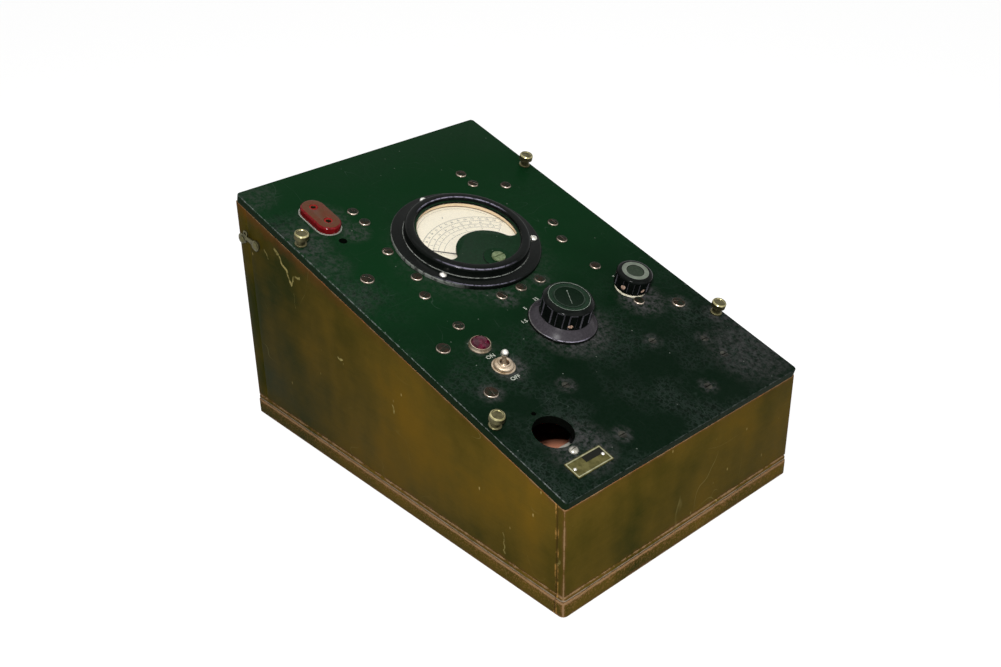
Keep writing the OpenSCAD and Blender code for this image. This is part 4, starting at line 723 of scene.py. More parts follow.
def cabinet_wood(node, place, grain_axis):
    """Oiled hardwood, planed: olive brown patina, orange and bare along its arrises."""
    c = sizes("cabinet")
    # Grain lines are about 2 mm wide and 80 mm long, pores 0.3 mm wide
    grain_place, pore_place = (
        node("Mapping", place, Scale=[long if axis == grain_axis else wide for axis in "XYZ"])
        for long, wide in ((12, 420), (60, 2600))
    )
    grain = node("TexNoise", grain_place, 1.0, 5.0, 0.6, Distortion=0.6)
    pores = node("TexNoise", pore_place, 1.0, 3.0)
    # Patina clouds are about 80 mm across, and patches of wear 8 mm
    cloud = node("TexNoise", place, 12.0, 5.0, 0.6)
    patch = node("TexNoise", place, 130.0, 6.0, 0.65)
    split = node("SeparateXYZ", place).outputs
    # Distances to the faces of the cabinet; the nearest arris is as far as the middle one of the three
    dx, dy = (
        node("Math.SUBTRACT", size / 2, node("Math.ABSOLUTE", split[axis]))
        for size, axis in ((c.width, "X"), (c.depth, "Y"))
    )
    top = c.foot_height + c.front_height + c.depth / 2 * math.tan(c.slope)
    rise = node("Math.MULTIPLY_ADD", split["Y"], math.tan(c.slope), top)
    below_top = node("Math.SUBTRACT", rise, split["Z"])
    over_feet = node("Math.SUBTRACT", split["Z"], c.foot_height)
    dz = below_top
    for level in (0, 11, 15.5):
        away = node("Math.ABSOLUTE", node("Math.SUBTRACT", over_feet, level * MM))
        dz = node("Math.MINIMUM", dz, away)
    small = node("Math.MINIMUM", dx, dy)
    large = node("Math.MAXIMUM", dx, dy)
    median = node("Math.MAXIMUM", small, node("Math.MINIMUM", large, dz))
    # Stain has run down in faint streaks, about 20 mm wide
    runs = node("TexNoise", node("Mapping", place, Scale=(45, 45, 5)), 1.0, 1.0)
    # The left wall is golden in its middle, and the wood is darker towards the rear
    gold = node("VectorMath.DISTANCE", place, (-0.1175, -0.02, 0.055))
    glow = node("MapRange.SMOOTHSTEP", gold, 0.02, 0.1, 0.13, 0.0)
    glow = node("Math.ADD", glow, node("MapRange.SMOOTHSTEP", split["Y"], 0.02, 0.15, 0.02, -0.1))
    shade = node("Math.MULTIPLY_ADD", grain, 0.06, node("Math.MULTIPLY_ADD", runs, 0.16, glow))
    shade = node("Math.MULTIPLY_ADD", cloud, 0.7, shade)
    body = node("ValToRGB", shade, stops=((0.3, "wood_dark"), (0.52, "wood"), (0.8, "wood_warm")))
    dark_pores = node("MapRange", pores, 0.3, 0.5, 0.96, 1.0)
    # A red brown band shows under the panel's edge at the rear, up to 12 mm deep
    band = node("MapRange", node("Math.MULTIPLY_ADD", patch, -0.016, below_top), -0.006, 0.003, 0.5, 0.0)
    band = node("Math.MULTIPLY", band, node("MapRange", split["Y"], 0.0, 0.1, 0.15, 1.0))
    lip = node("MapRange", below_top, 0.0004, 0.0011, 0.85, 0.0)
    # Wear runs up to 2 mm in from an arris, broken by the patches
    ratio = node("Math.DIVIDE", median, node("MapRange", patch, 0.35, 0.75, 0.0002, 0.0019))
    wear = node("MapRange", ratio, 0.4, 0.9, 0.9, 0.0)
    # Along the top of the bead, a thin pale line: rubbed wear, painted pale also as a highlight
    crest = node("Math.ABSOLUTE", node("Math.SUBTRACT", over_feet, 0.0128))
    crest = node("MapRange", crest, 0.0003, 0.0008, 0.85, 0.0)
    crest = node("Math.MULTIPLY", crest, node("MapRange", patch, 0.35, 0.5, 0.4, 1.0))
    # Where the front board laps the sides, the joint is dark and its edge chipped
    rabbet = 0.0064
    joint = node("Math.ABSOLUTE", node("Math.ADD", split["Y"], c.depth / 2 - rabbet))
    side = node("MapRange", dx, 0.0002, 0.001, 1.0, 0.0)
    seam = node("Math.MULTIPLY", side, node("MapRange", joint, 0.0002, 0.0012, 0.65, 0.0))
    flaw = node("Math.ABSOLUTE", node("Math.SUBTRACT", joint, 0.0011))
    flaw = node("Math.MULTIPLY", side, node("MapRange", flaw, 0.0003, 0.0009, 0.9, 0.0))
    flaw = node("Math.MULTIPLY", flaw, node("MapRange", patch, 0.5, 0.6))
    # Scratches a third of a millimetre wide
    upright = scratches(node, place, (14, 14, 30), 0.003, 16.0, (0.4, 0.3, 0.2))
    level = scratches(node, place, (26, 26, 9), 0.0025, 21.0, (0.1, 0.9, 0.5))
    marks = node("Math.MULTIPLY", node("Math.MAXIMUM", upright, level), 0.25)
    # The deep ones wander by a millimetre and skip, as a point drawn over wood does
    waver = node("TexNoise", place, 150.0, 3.0).outputs["Color"]
    swing = node("VectorMath.MULTIPLY_ADD", waver, (0, 0.007, 0.007), place)
    drawn = node("SeparateXYZ", node("Mapping", swing, Location=(0, -0.0035, -0.0035))).outputs
    deep = 0.0
    for back, up, to_back, to_up, width, power in SCRATCHES:
        one = stroke(node, drawn, (back, up), (to_back, to_up), width, power)
        deep = node("Math.MAXIMUM", deep, one)
    skip = node("MapRange", node("TexNoise", place, 330.0, 2.0), 0.4, 0.56, 0.25, 1.0)
    marks = node("Math.MAXIMUM", marks, node("Math.MULTIPLY", deep, skip))
    # Chips through the stain: upright, 1 mm wide and 2 mm long, and crumbs close together on the base
    chips = node("TexVoronoi.F1", node("Mapping", place, Scale=(110, 110, 55)), 1.0)
    chips = node("MapRange", chips, 0.04, 0.09, 0.8, 0.0)
    chips = node("Math.MULTIPLY", chips, node("MapRange", cloud, 0.52, 0.56))
    low = node("MapRange", over_feet, 0.002, 0.0115, 0.1, 1.0)
    low = node("Math.MULTIPLY", low, node("MapRange", over_feet, 0.0125, 0.0126, 1.0, 0.02))
    crumbs = node("MapRange", node("TexNoise", place, 700.0, 4.0, 0.7), 0.5, 0.62, 0.0, 0.65)
    # Inside the cabinet, 12 mm in from its faces, the wood was never stained
    inside = node("MapRange", small, 0.0118, 0.0122)
    lift = node("Math.MULTIPLY_ADD", wear, -0.6, pores)
    return {
        "IOR": 1.45,
        "Specular_IOR_Level": 0.01,
        "Base_Color": node("Mix.RGBA", 1.0, body, dark_pores, blend_type="MULTIPLY"),
        "layers": [
            (band, "#6a3c18"), (lip, "#b4734c"),
            (node("MapRange", ratio, 0.8, 2.8, 0.75, 0.0), "#5d4322"),
            (wear, "bare_wood"), (crest, "#a89a86"), (seam, "#2e1c0e"), (flaw, "#a37a40"),
            (marks, "#b0a266"), (chips, "#a8935a"), (node("Math.MULTIPLY", crumbs, low), "#a3764e"),
            (inside, "#e89a7a"),
        ],
        "Roughness": node("MapRange", cloud, 0.3, 0.7, 0.36, 0.55),
        "Normal": node("Bump", Height=lift, Distance=0.0001, Strength=0.4),
    }


def panel_local(place):
    """A place on the panel in the enamel's own coordinates, where the slope is turned back."""
    return Matrix.Rotation(-sizes("cabinet").slope, 4, "X") @ panel_matrix(place).translation


def crackle_enamel(node, place):
    """Crackle enamel, stoved: a fine raised network, with dust round the controls."""
    c = sizes("cabinet")
    # Panel coordinates: turn the frame back by the slope, so that x and y lie in the panel's face
    flat = node("Mapping.TEXTURE", place, Rotation=(c.slope, 0, 0))
    split = node("SeparateXYZ", flat).outputs
    # Crackle islands are about 4 mm across, with bent borders
    warp = node("TexNoise", flat, 300.0, 3.0)
    bent = node("Mix.VECTOR", 0.0075, flat, warp.outputs["Color"])
    cells = node("TexVoronoi.DISTANCE_TO_EDGE", bent, 1 / (4 * MM))
    cloud = node("TexNoise", flat, 22.0, 5.0)
    # The network shows most in the front third of the panel and along its left edge, and in patches
    front = node("MapRange.SMOOTHSTEP", split["Y"], -0.07, 0.03, 1.0, 0.15)
    left = node("MapRange.SMOOTHSTEP", split["X"], -0.112, -0.07, 0.9, 0.0)
    where = node("MapRange", cloud, 0.44, 0.6, 0.1, 1.0)
    where = node("Math.MULTIPLY", node("Math.MAXIMUM", front, left), where)
    vein = node("Math.MULTIPLY", node("MapRange.SMOOTHSTEP", cells, 0.0, 0.2, 1.0, 0.0), where)
    blot = node("Math.MULTIPLY", node("MapRange", warp, 0.42, 0.55, 0.55, 0.0), where)
    near = node("Math.MULTIPLY_ADD", cloud, 0.08, split["Y"])
    near = node("MapRange.SMOOTHSTEP", near, -0.05, 0.14, 1.0, 0.0)
    # Dust lies round the controls: a soft halo at each place
    dust = 0.0
    for right, up, reach, power in DUST:
        spot = node("VectorMath.DISTANCE", flat, panel_local((right, up)))
        halo = node("MapRange.SMOOTHSTEP", spot, reach * 0.4 * MM, reach * MM, power, 0.0)
        dust = node("Math.MAXIMUM", dust, halo)
    grime = node("TexNoise", flat, 230.0, 8.0, 0.78)
    dust = node("Math.MULTIPLY", node("MapRange", grime, 0.43, 0.6, 0.03, 0.95), dust)
    across = scratches(node, flat, (22, 60, 22), 0.004, 26.0, (0, 0, 0.5))
    marks = node("Math.MAXIMUM", across, scratches(node, flat, (70, 20, 20), 0.004, 33.0, (0, 0, 0.2)))
    # White specks of dirt, about 0.6 mm across
    fleck = node("MapRange", node("TexVoronoi.F1", flat, 85.0), 0.025, 0.05, 0.6, 0.0)
    # Enamel is rubbed through to grey metal on the panel's own edges
    centre = panel_local((0, 0))
    from_middle = node("Math.ABSOLUTE", node("Math.SUBTRACT", split["Y"], centre.y))
    du = node("Math.SUBTRACT", c.width / 2, node("Math.ABSOLUTE", split["X"]))
    dv = node("Math.SUBTRACT", half_length(), from_middle)
    edge = node("Math.MINIMUM", du, dv)
    drop = node("Math.SUBTRACT", centre.z, split["Z"])
    arris = node("Math.MAXIMUM", node("Math.ABSOLUTE", edge), node("Math.ABSOLUTE", drop))
    arris = node("Math.SUBTRACT", arris, node("MapRange", grime, 0.42, 0.66, 0.0001, 0.0008))
    rubbed = node("MapRange", arris, -0.0003, 0.0002, 0.55, 0.0)
    rubbed = node("Math.MULTIPLY", rubbed, node("MapRange", dv, 0.001, 0.003, 0.3, 1.0))
    # Painted shade: the walls of the holes are painted black; the panel's side is dark
    level = node("VectorMath.DOT_PRODUCT", node("NewGeometry").outputs["Normal"], facing())
    upright = node("MapRange", level, 0.2, 0.6, 1.0, 0.0)
    hole = node("Math.MULTIPLY", upright, node("MapRange", edge, 0.001, 0.003, 0.0, 0.95))
    rim = node("Math.MULTIPLY", upright, node("MapRange", edge, 0.001, 0.003, 0.9, 0.0))
    rim = node("Math.MULTIPLY", rim, node("MapRange", drop, 0.0008, 0.0016))
    dull = node("MapRange", dust, 0.0, 0.5, 0.34, 0.75)
    return {
        "IOR": 1.5,
        "Specular_IOR_Level": 0.01,
        "Base_Color": node("Mix.RGBA", near, "enamel", "enamel_front"),
        "layers": [
            (node("Math.MULTIPLY", where, 0.14), "#262c29"), (blot, "#060c07"),
            (node("Math.MULTIPLY", vein, 0.4), "#303a35"), (dust, "dust"),
            (node("Math.MULTIPLY", marks, 0.3), "#4d5a52"), (fleck, "#7c837a"),
            (rubbed, "#858b87"), (hole, "#060705"), (rim, "#142112"),
        ],
        "Roughness": node("Math.MAXIMUM", dull, node("MapRange", vein, 0.0, 1.0, 0.34, 0.5)),
        "Normal": node("Bump", Height=vein, Distance=0.0001, Strength=0.6),
    }


# Each material's maker with its colours and roughness, and what the eye gets from it
MATERIALS = {
    # Turned brass gone dull: warm grey gold, brown in the hollows
    "aged_brass_turned": (metal, "brass", "brass 0.5", 0.42),
    # The same brass where fingers rub it: bright and smooth on the rims, and painted brighter as a highlight
    "brass_turned_rubbed": (metal, "#a69f78", "#817b55", 0.22),
    # Brass with most of its nickel gone: pale pinkish gold, fairly bright
    "brass_pale_plated": (metal, "#c0b09c", "#94836c", 0.4),
    # Etched brass plate, bare, with an olive patina and paler rubbed patches
    "brass_etched_plate": (metal, "#645f39", "#484526", 0.42),
    # The plate's raised border, rubbed pale
    "brass_border_rubbed": (metal, "#aeac8f", "#8c8a6c", 0.4),
    # Nickel plate kept bright by handling: silver white
    "nickel_plate_bright": (metal, "#e4e2dc", "#b4b0a6", 0.32),
    # Nickel plate on brass: pale grey, a little yellow, with soft gloss
    "nickel_plate_dull": (metal, "nickel", "nickel 0.6", 0.3),
    # Machined soft iron: mid grey with a dull sheen
    "iron_machined": (metal, "#7d7f80", "#4e5052", 0.42),
    # Thin aluminium with black lacquer: nearly no gloss
    "aluminium_blackened": (metal, "#1c1c1b", "#101010", 0.6),
    # Anodised ring let into the knob: dull grey, brushed round
    "aluminium_inlay_grey": (metal, "#777e72", "#666d62", 0.5),
    # Rolled phosphor bronze: bright, with a copper cast
    "phosphor_bronze_spring": (metal, "#c08a4a", "#8a5f30", 0.25),
    # Countersunk screws, blackened: dark, with bare spots where a driver has been
    "steel_blackened_screw": (metal, "#4a4a42", "#191a16", 0.3),
    # Plated steel screw: bare pinkish plate only on the side towards the lamp, as a painted highlight;
    # painted shade on the other sides, and a painted dark reflection in the slot and over the crown, mottled
    # green and brown
    "steel_plated_screw_dirty": (dirty_screw,),
    # Ends of the set screws: plated steel under dried dust, pale pink and matte
    "steel_screw_end_dusty": (moulded, "#c4a592", "#a08470", 0.6),
    # Valve glass, blown and silvered inside by its getter: smoky grey mirror
    "glass_getter_smoked": (metal, "#6b675f", "#3d3a35", 0.15),
    # Flat window glass, polished: clear, with a faint smear
    "glass_flat_clear": (clear_glass,),
    # Pressed red glass with facets: dark, with purple lights
    "glass_pressed_red": (jewel_glass,),
    # Black phenolic, moulded: deep black with a clean gloss
    "phenolic_black_moulded": (moulded, "moulding", "moulding 1.65", 0.14, 0.06, 0.000003),
    # The meter's cover, moulded and buffed: glossy black, rubbed pale on its outer edges, with painted
    # violet highlights on its rims
    "phenolic_black_cover": (cover_phenolic,),
    # Flat faces of the cover, polished: black with a painted green reflection, and white specks of dust
    "phenolic_black_polished": (polished_phenolic,),
    # The same black phenolic rubbed dull by hands: dark violet grey, lightened also as a broad painted
    # sheen, with a painted violet highlight on its rim
    "phenolic_black_rubbed": (worn_phenolic,),
    # Edges between the flutes: upright grey lines, painted as highlights
    "phenolic_black_ridges": (moulded, "#39383c", "#504e54", 0.3, 0.1),
    # Flat rim on top of the range knob, hazed: dark grey with a painted green reflection
    "phenolic_black_hazy_rim": (moulded, "#182a1d", "#213427", 0.3, 0.03),
    # Disc inside that rim: nearly black, with a painted green reflection
    "phenolic_black_disc": (moulded, "#06160b", "#0b1c10", 0.25, 0.03),
    # Top of the zero knob, hazed by dust: dull olive grey
    "phenolic_black_hazed": (moulded, "#2e372d", "#384236", 0.4, 0.03),
    # Red phenolic, moulded: glossy dark red sides, and a top gone brown and dull with dirt
    "phenolic_red_moulded": (red_phenolic,),
    # Paper phenolic board, sawn: brown and matte
    "phenolic_board_brown": (moulded, "#6b4c2c", "#8a683f", 0.55),
    # Pale green cast plastic of the zero corrector, gone cloudy
    "celluloid_pale_green": (moulded, "#5c6a4a", "#7f8c6a", 0.35),
    # Cast ivory plastic, yellowed: satin and pale
    "celluloid_ivory": (moulded, "#e9e2cc", "#d2c9ab", 0.4),
    # Moulded rubber foot: dark and matte
    "rubber_moulded_black": (moulded, "#191918", "#262625", 0.75),
    # Waxed paper round the windings: tan with a waxy sheen
    "paper_waxed_wrap": (moulded, "#8a6f46", "#a98d5e", 0.5),
    # Pressed felt under the terminal plate: pale grey and matte
    "felt_gasket_grey": (moulded, "#9a9a90", "#6c6e66", 0.9),
    # Sawn softwood of the glue blocks: pale brown, unfinished
    "softwood_sawn_bare": (moulded, "#7d5c37", "#96734a", 0.7),
    # Oiled hardwood, planed: olive brown, worn at its edges, with the grain front to back
    "hardwood_oiled_side": (cabinet_wood, "Y"),
    # The same wood with its grain from side to side
    "hardwood_oiled_front": (cabinet_wood, "X"),
    # Black crackle enamel on sheet metal, stoved: a raised network under dust
    "enamel_crackle_black": (crackle_enamel,),
    # Cream enamel on sheet metal, sprayed: matte, browned on its raised surround, with a painted shadow line
    # at its foot
    "dial_enamel_cream": (dial_cream,),
    # Printing ink: flat black with small gaps
    "ink_printed_black": (film, "ink"),
    # White paint wiped into the engraved letters: dull, a little green
    "paint_filled_white": (film, "letters"),
    # Paint of the arrow and of the knob's rim line: worn grey
    "paint_arrow_grey": (film, "#7d857b"),
    # Moulded edge round the knob's disc, worn grey
    "phenolic_edge_worn": (film, "#39423a"),
    # Enamel filled into the etched nameplate: flat black
    "enamel_black_filled": (film, "#12130e"),
    # Lacquer on the jacks' collars: glossy red
    "lacquer_red": (film, "#8c1c18", 0.3),
    # Plain pale floor, which the camera sees as white
    "paper_matte_white": (floor_paper,),
}


# Operators: one for each piece, or group of like pieces


class VoltmeterOperator:
    """Shared settings of the operators below."""

    bl_options = {"REGISTER", "UNDO"}

    def execute(self, context):
        self.build()
        return {"FINISHED"}


class BuildCabinet(VoltmeterOperator, bpy.types.Operator):
    """Boards, bead and base of the wooden cabinet, with worn arrises"""

    bl_idname = "voltmeter.cabinet"
    bl_label = "Cabinet"

    def build(self):
        (arris,) = mm("cabinet", "arris")
        for node, grain, width in (
            ("side_left", "side", arris), ("side_right", "side", arris), ("front_board", "front", arris),
            ("back_board", "front", arris), ("base_bead", "front", 2.0), ("base_board", "side", 3.2),
        ):
            obj = node_copy(node, node + "_worn")
            with picked(obj, "EDGE", self.outer_edge(node)):
                bpy.ops.mesh.bevel(offset=width * MM, segments=4, affect="EDGES", clamp_overlap=True)
            dress(obj, "cabinet", "hardwood_oiled_" + grain, replaces=[node])
        coat("softwood_sawn_bare", "corner_blocks")
        coat("aged_brass_turned", "cabinet_screws", "thumb_inserts")
        coat("rubber_moulded_black", "rubber_feet")

    def outer_edge(self, node):
        """The test for the edges that a hand can reach on the outside of a board."""
        low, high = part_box(node)
        hair = 0.01 * MM

        def test(edge):
            if not sharp(edge):
                return False
            m = middle(edge) * MM
            a, b = edge.verts[0].co, edge.verts[1].co
            if node in ("base_board", "base_bead"):
                near = abs(abs(m.x) - high.x) < 4 * MM or abs(abs(m.y) - high.y) < 4 * MM
                outer = node == "base_bead" or m.z > high.z - hair or m.z < low.z + hair
                return near and outer and abs(a.z - b.z) < 0.1 * hair
            sides = m.x < low.x + hair, m.x > high.x - hair, m.y < low.y + hair, m.y > high.y - hair
            return (a - b).length > 20 * MM and any(sides)

        return test


class BuildCatches(VoltmeterOperator, bpy.types.Operator):
    """Brass hooks and pins that hold the back board"""

    bl_idname = "voltmeter.catches"
    bl_label = "Side catches"

    def build(self):
        for side in ("left", "right"):
            node = "catch_hook_" + side
            obj = soften(node_copy(node, f"hook_{side}_bent"), 0.3, 2, 50)
            dress(obj, side + "_hook", "aged_brass_turned", replaces=[node])
        coat("aged_brass_turned", "catch_pins")


class BuildPanel(VoltmeterOperator, bpy.types.Operator):
    """Sloping metal panel with its crackle enamel"""

    bl_idname = "voltmeter.panel"
    bl_label = "Panel"

    def build(self):
        obj = node_copy("front_panel", "panel_enamelled")
        flat = panel_matrix().inverted()
        half_width = sizes("cabinet").width / 2

        def rim(edge):
            a, b = (flat @ v.co for v in edge.verts)
            m = (a + b) / 2
            near = half_width - abs(m.x) < 1.2 * MM or half_length() - abs(m.y) < 1.2 * MM
            return sharp(edge) and near and abs(a.z - b.z) < 0.001 * MM and m.z > -0.01 * MM

        with picked(obj, "EDGE", rim):
            bpy.ops.mesh.bevel(offset=0.7 * MM, segments=3, affect="EDGES")
        dress(obj, "cabinet", "enamel_crackle_black", replaces=["front_panel"])


def slotted_head(name, radius, height, slot=0.75, deep=0.55):
    """A round screw head with its slot, standing on the panel's face."""
    side = height * 0.7
    crown = height * 0.16
    profile = [(0, 0), (radius, 0), *arc(radius - side, height - crown - side, side, 0, 78, 6)]
    inner = profile[-1][0]
    profile += [(inner * 0.66, height - crown * 0.4), (inner * 0.33, height - crown * 0.08), (0, height)]
    head = turned(name, profile, 40)
    tool = block("slot", (-radius - 1, -slot / 2, height - deep), (radius + 1, slot / 2, height + 1))
    return soften(cut(head, tool), 0.08, 1, 50)


def shank(name, low, high, nut_low):
    """A screw's shank and its hexagon nut, behind the panel."""
    rod = drum("rod", 1.6, low, high, sides=16)
    nut = soften(drum("nut", 3.5, nut_low, nut_low + 2.4, sides=6), 0.25, 1, 20)
    return joined(name, [rod, nut])


class BuildPanelScrews(VoltmeterOperator, bpy.types.Operator):
    """Round and countersunk screws of the panel, with their nuts"""

    bl_idname = "voltmeter.panel_screws"
    bl_label = "Panel screws"

    def build(self):
        thick, height, *radii = mm("panel", "thickness", "screw_height", "small_screw", "large_screw")
        small, large = (slotted_head("head", radius, height) for radius in radii)
        tail = shank("tail", -thick - 5.6, 0.4, -thick - 4.05)
        made = []
        by_zero_knob = (ZERO[0] - 6, ZERO[1] - 14.7)
        for k, place in enumerate(SMALL_SCREWS + LARGE_SCREWS + [by_zero_knob]):
            head = large if place in LARGE_SCREWS else small
            turn = (k * 67 + 20) % 180
            made.append(placed(copied(head, "head"), panel_matrix(place, 0, turn)))
            made.append(placed(copied(tail, "tail"), panel_matrix(place, 0, turn / 3)))
        for source in (small, large, tail):
            bpy.data.objects.remove(source)
        # The round heads: a painted highlight crescent towards the lamp, painted shade and a painted dark
        # reflection elsewhere
        dress(
            joined("panel_screws_round", made), "cabinet", "steel_plated_screw_dirty",
            replaces=["panel_screws"],
        )
        coat("steel_blackened_screw", "countersunk_screws")


class BuildThumbScrews(VoltmeterOperator, bpy.types.Operator):
    """Four knurled brass thumb screws"""

    bl_idname = "voltmeter.thumb_screws"
    bl_label = "Thumb screws"

    def build(self):
        r, top = mm("panel", "thumb_head", "thumb_top")
        foot = top - 5
        steps = sizes("panel").knurls * 2
        obj = turned("thumb", [
            (0, -18.5), (1.9, -18.5), (2.5, -17.9), (2.5, 0.1), (4.2, 0.1), (4.5, 0.4), (4.5, 1.3),
            (4.2, 1.6), (3.3, 1.9), (3.3, foot - 0.6), (3.7, foot), (r - 0.5, foot), (r, foot + 0.5),
            (r, foot + 1.1), (r, top - 1.5), (r, top - 0.9), (r - 0.5, top - 0.2), (r - 1.0, top),
            (r - 1.7, top), (r - 2.0, top - 0.35), (0, top - 0.35),
        ], steps)

        def groove(v):
            angle = math.atan2(v.co.y, v.co.x) * steps / math.tau
            on_rim = math.hypot(v.co.x, v.co.y) > (r - 0.1) * MM
            return on_rim and foot + 0.8 < v.co.z / MM < top - 1.2 and round(angle) % 2 == 0

        with picked(obj, "VERT", groove):
            bpy.ops.transform.resize(value=(0.955, 0.955, 1), center_override=(0, 0, 0))
        # The rims are rubbed bright, and painted brighter still as their highlight
        painted(obj, "aged_brass_turned", (
            "brass_turned_rubbed", lambda face: 0.2 < face.normal.z < 0.97 and middle(face).z > top - 1,
        ))
        across, up = 111.15, half_length() / MM - 74.1
        for k, (corner, right, back) in enumerate((
            ("rear_left", -1, 1), ("rear_right", 1, 1), ("front_left", -1, -1), ("front_right", 1, -1),
        )):
            name = "thumb_screw_" + corner
            place = (right * across, back * up)
            one = placed(copied(obj, name + "_knurled"), panel_matrix(place, 0, k * 37))
            dress(one, "thumb_" + corner, replaces=[name])
        bpy.data.objects.remove(obj)


class BuildMeter(VoltmeterOperator, bpy.types.Operator):
    """Meter cover with its crescent window, glass, screws and zero corrector"""

    bl_idname = "voltmeter.meter"
    bl_label = "Meter"

    def build(self):
        flange, bezel, recess, window, hump = mm("meter", "flange", "bezel", "recess", "window", "hump")
        hump_down, corrector_down, case, inner = 27.4, 34.6, 44.45, 40.95
        body = turned("cover", [
            (0, 8.2), (recess - 0.6, 8.2), (recess - 0.15, 8.35), (recess, 8.8), (recess, 10.0),
            *arc(recess + 1.3, 9.9, 1.3, 180, 90, 4), *arc(bezel - 3.0, 8.2, 3.0, 90, 0, 6),
            (bezel, 4.4), (bezel + 0.3, 3.8), (bezel + 1.0, 3.5), *arc(flange - 1.4, 2.1, 1.4, 90, 0, 5),
            (flange, 0.3), (flange - 0.3, 0), (case, 0), (case, 1.75), (inner, 1.75), (inner, 6.6), (0, 6.6),
        ], 128)
        # The crescent: a round window less the hump and all below it, with rounded tips
        opening = drum("opening", window, 5, 10, sides=128)
        cut(opening, drum("hump", hump, 4, 11, (0, -hump_down), 128))
        tip_y, mid = -hump_down / 2, (window + hump) / 2
        cut(opening, block("below", (-60, -60, 4), (60, tip_y * window / mid, 11)))
        tip_x = math.sqrt(mid * mid - tip_y * tip_y)
        for side in (-1, 1):
            tip = drum("tip", (window - hump) / 2 - 0.01, 5.01, 9.99, (side * tip_x, tip_y), 48)
            cut(opening, tip, "UNION")
        soften(cut(body, opening), 0.35, 2, 40)
        boss = [(1.9, 8.1), (1.9, 8.6), (11.1, 8.6), (11.5, 8.2), (11.5, 8.1)]
        boss = turned("boss", boss, 64, closed=True)
        boss = placed(boss, Matrix.Translation((0, -corrector_down * MM, 0)))
        # The cover: painted violet highlights on its rims, and a painted green reflection on its flat faces
        cover = painted(joined("meter_cover_moulded", [body, boss]), "phenolic_black_cover", (
            "phenolic_black_polished", lambda face: (
                face.normal.z > 0.99 and middle(face).z > 8.1 and middle(face).xy.length < recess - 1
            ),
        ))
        cover = placed(cover, panel_matrix(METER))
        dress(cover, "cabinet", replaces=["meter_cover"])
        coat("glass_flat_clear", "meter_glass")
        coat("phenolic_black_moulded", "meter_case")
        coat("iron_machined", "meter_magnet", "meter_core")
        coat("phosphor_bronze_spring", "meter_spring")
        coat("aged_brass_turned", "meter_terminals")
        # The dial, with a painted shadow line at the foot of its surround
        coat("dial_enamel_cream", "dial_plate")
        coat("aluminium_blackened", "pointer")
        self.screws()
        self.corrector(corrector_down)

    def screws(self):
        head = slotted_head("meter_head", 2.9, 2.0, 0.7)
        tail = shank("meter_tail", -13.35, 0.3, -12.35)
        flange_top, screw_circle = 3.5, 52
        made = []
        for k, angle in enumerate((90, 210, 330)):
            place = polar(METER, screw_circle, angle)
            made.append(placed(copied(head, "head"), panel_matrix(place, flange_top, k * 50 + 30)))
            made.append(placed(copied(tail, "tail"), panel_matrix(place, flange_top, k * 20)))
        for source in (head, tail):
            bpy.data.objects.remove(source)
        dress(
            joined("meter_screws_slotted", made), "cabinet", "nickel_plate_bright",
            replaces=["meter_screws"],
        )

    def corrector(self, down):
        head = turned("corrector", [
            (0, 8.65), (4.9, 8.65), (5.2, 8.9), *arc(4.4, 9.85, 0.8, 0, 90, 4), (0, 10.65),
        ], 48)
        cut(head, block("slot", (-6, -0.6, 9.6), (6, 0.6, 11)))
        soften(head, 0.12, 1, 50)
        stem = drum("stem", 1.8, 5.8, 8.7, sides=24)
        pin = drum("pin", 0.6, 5.0, 6.0, (0, 1.1), 16)
        obj = joined("zero_corrector_slotted", [head, stem, pin])
        dress(
            placed(obj, panel_matrix((METER[0], METER[1] - down))), "pointer_corrector",
            "celluloid_pale_green", replaces=["zero_corrector"],
        )


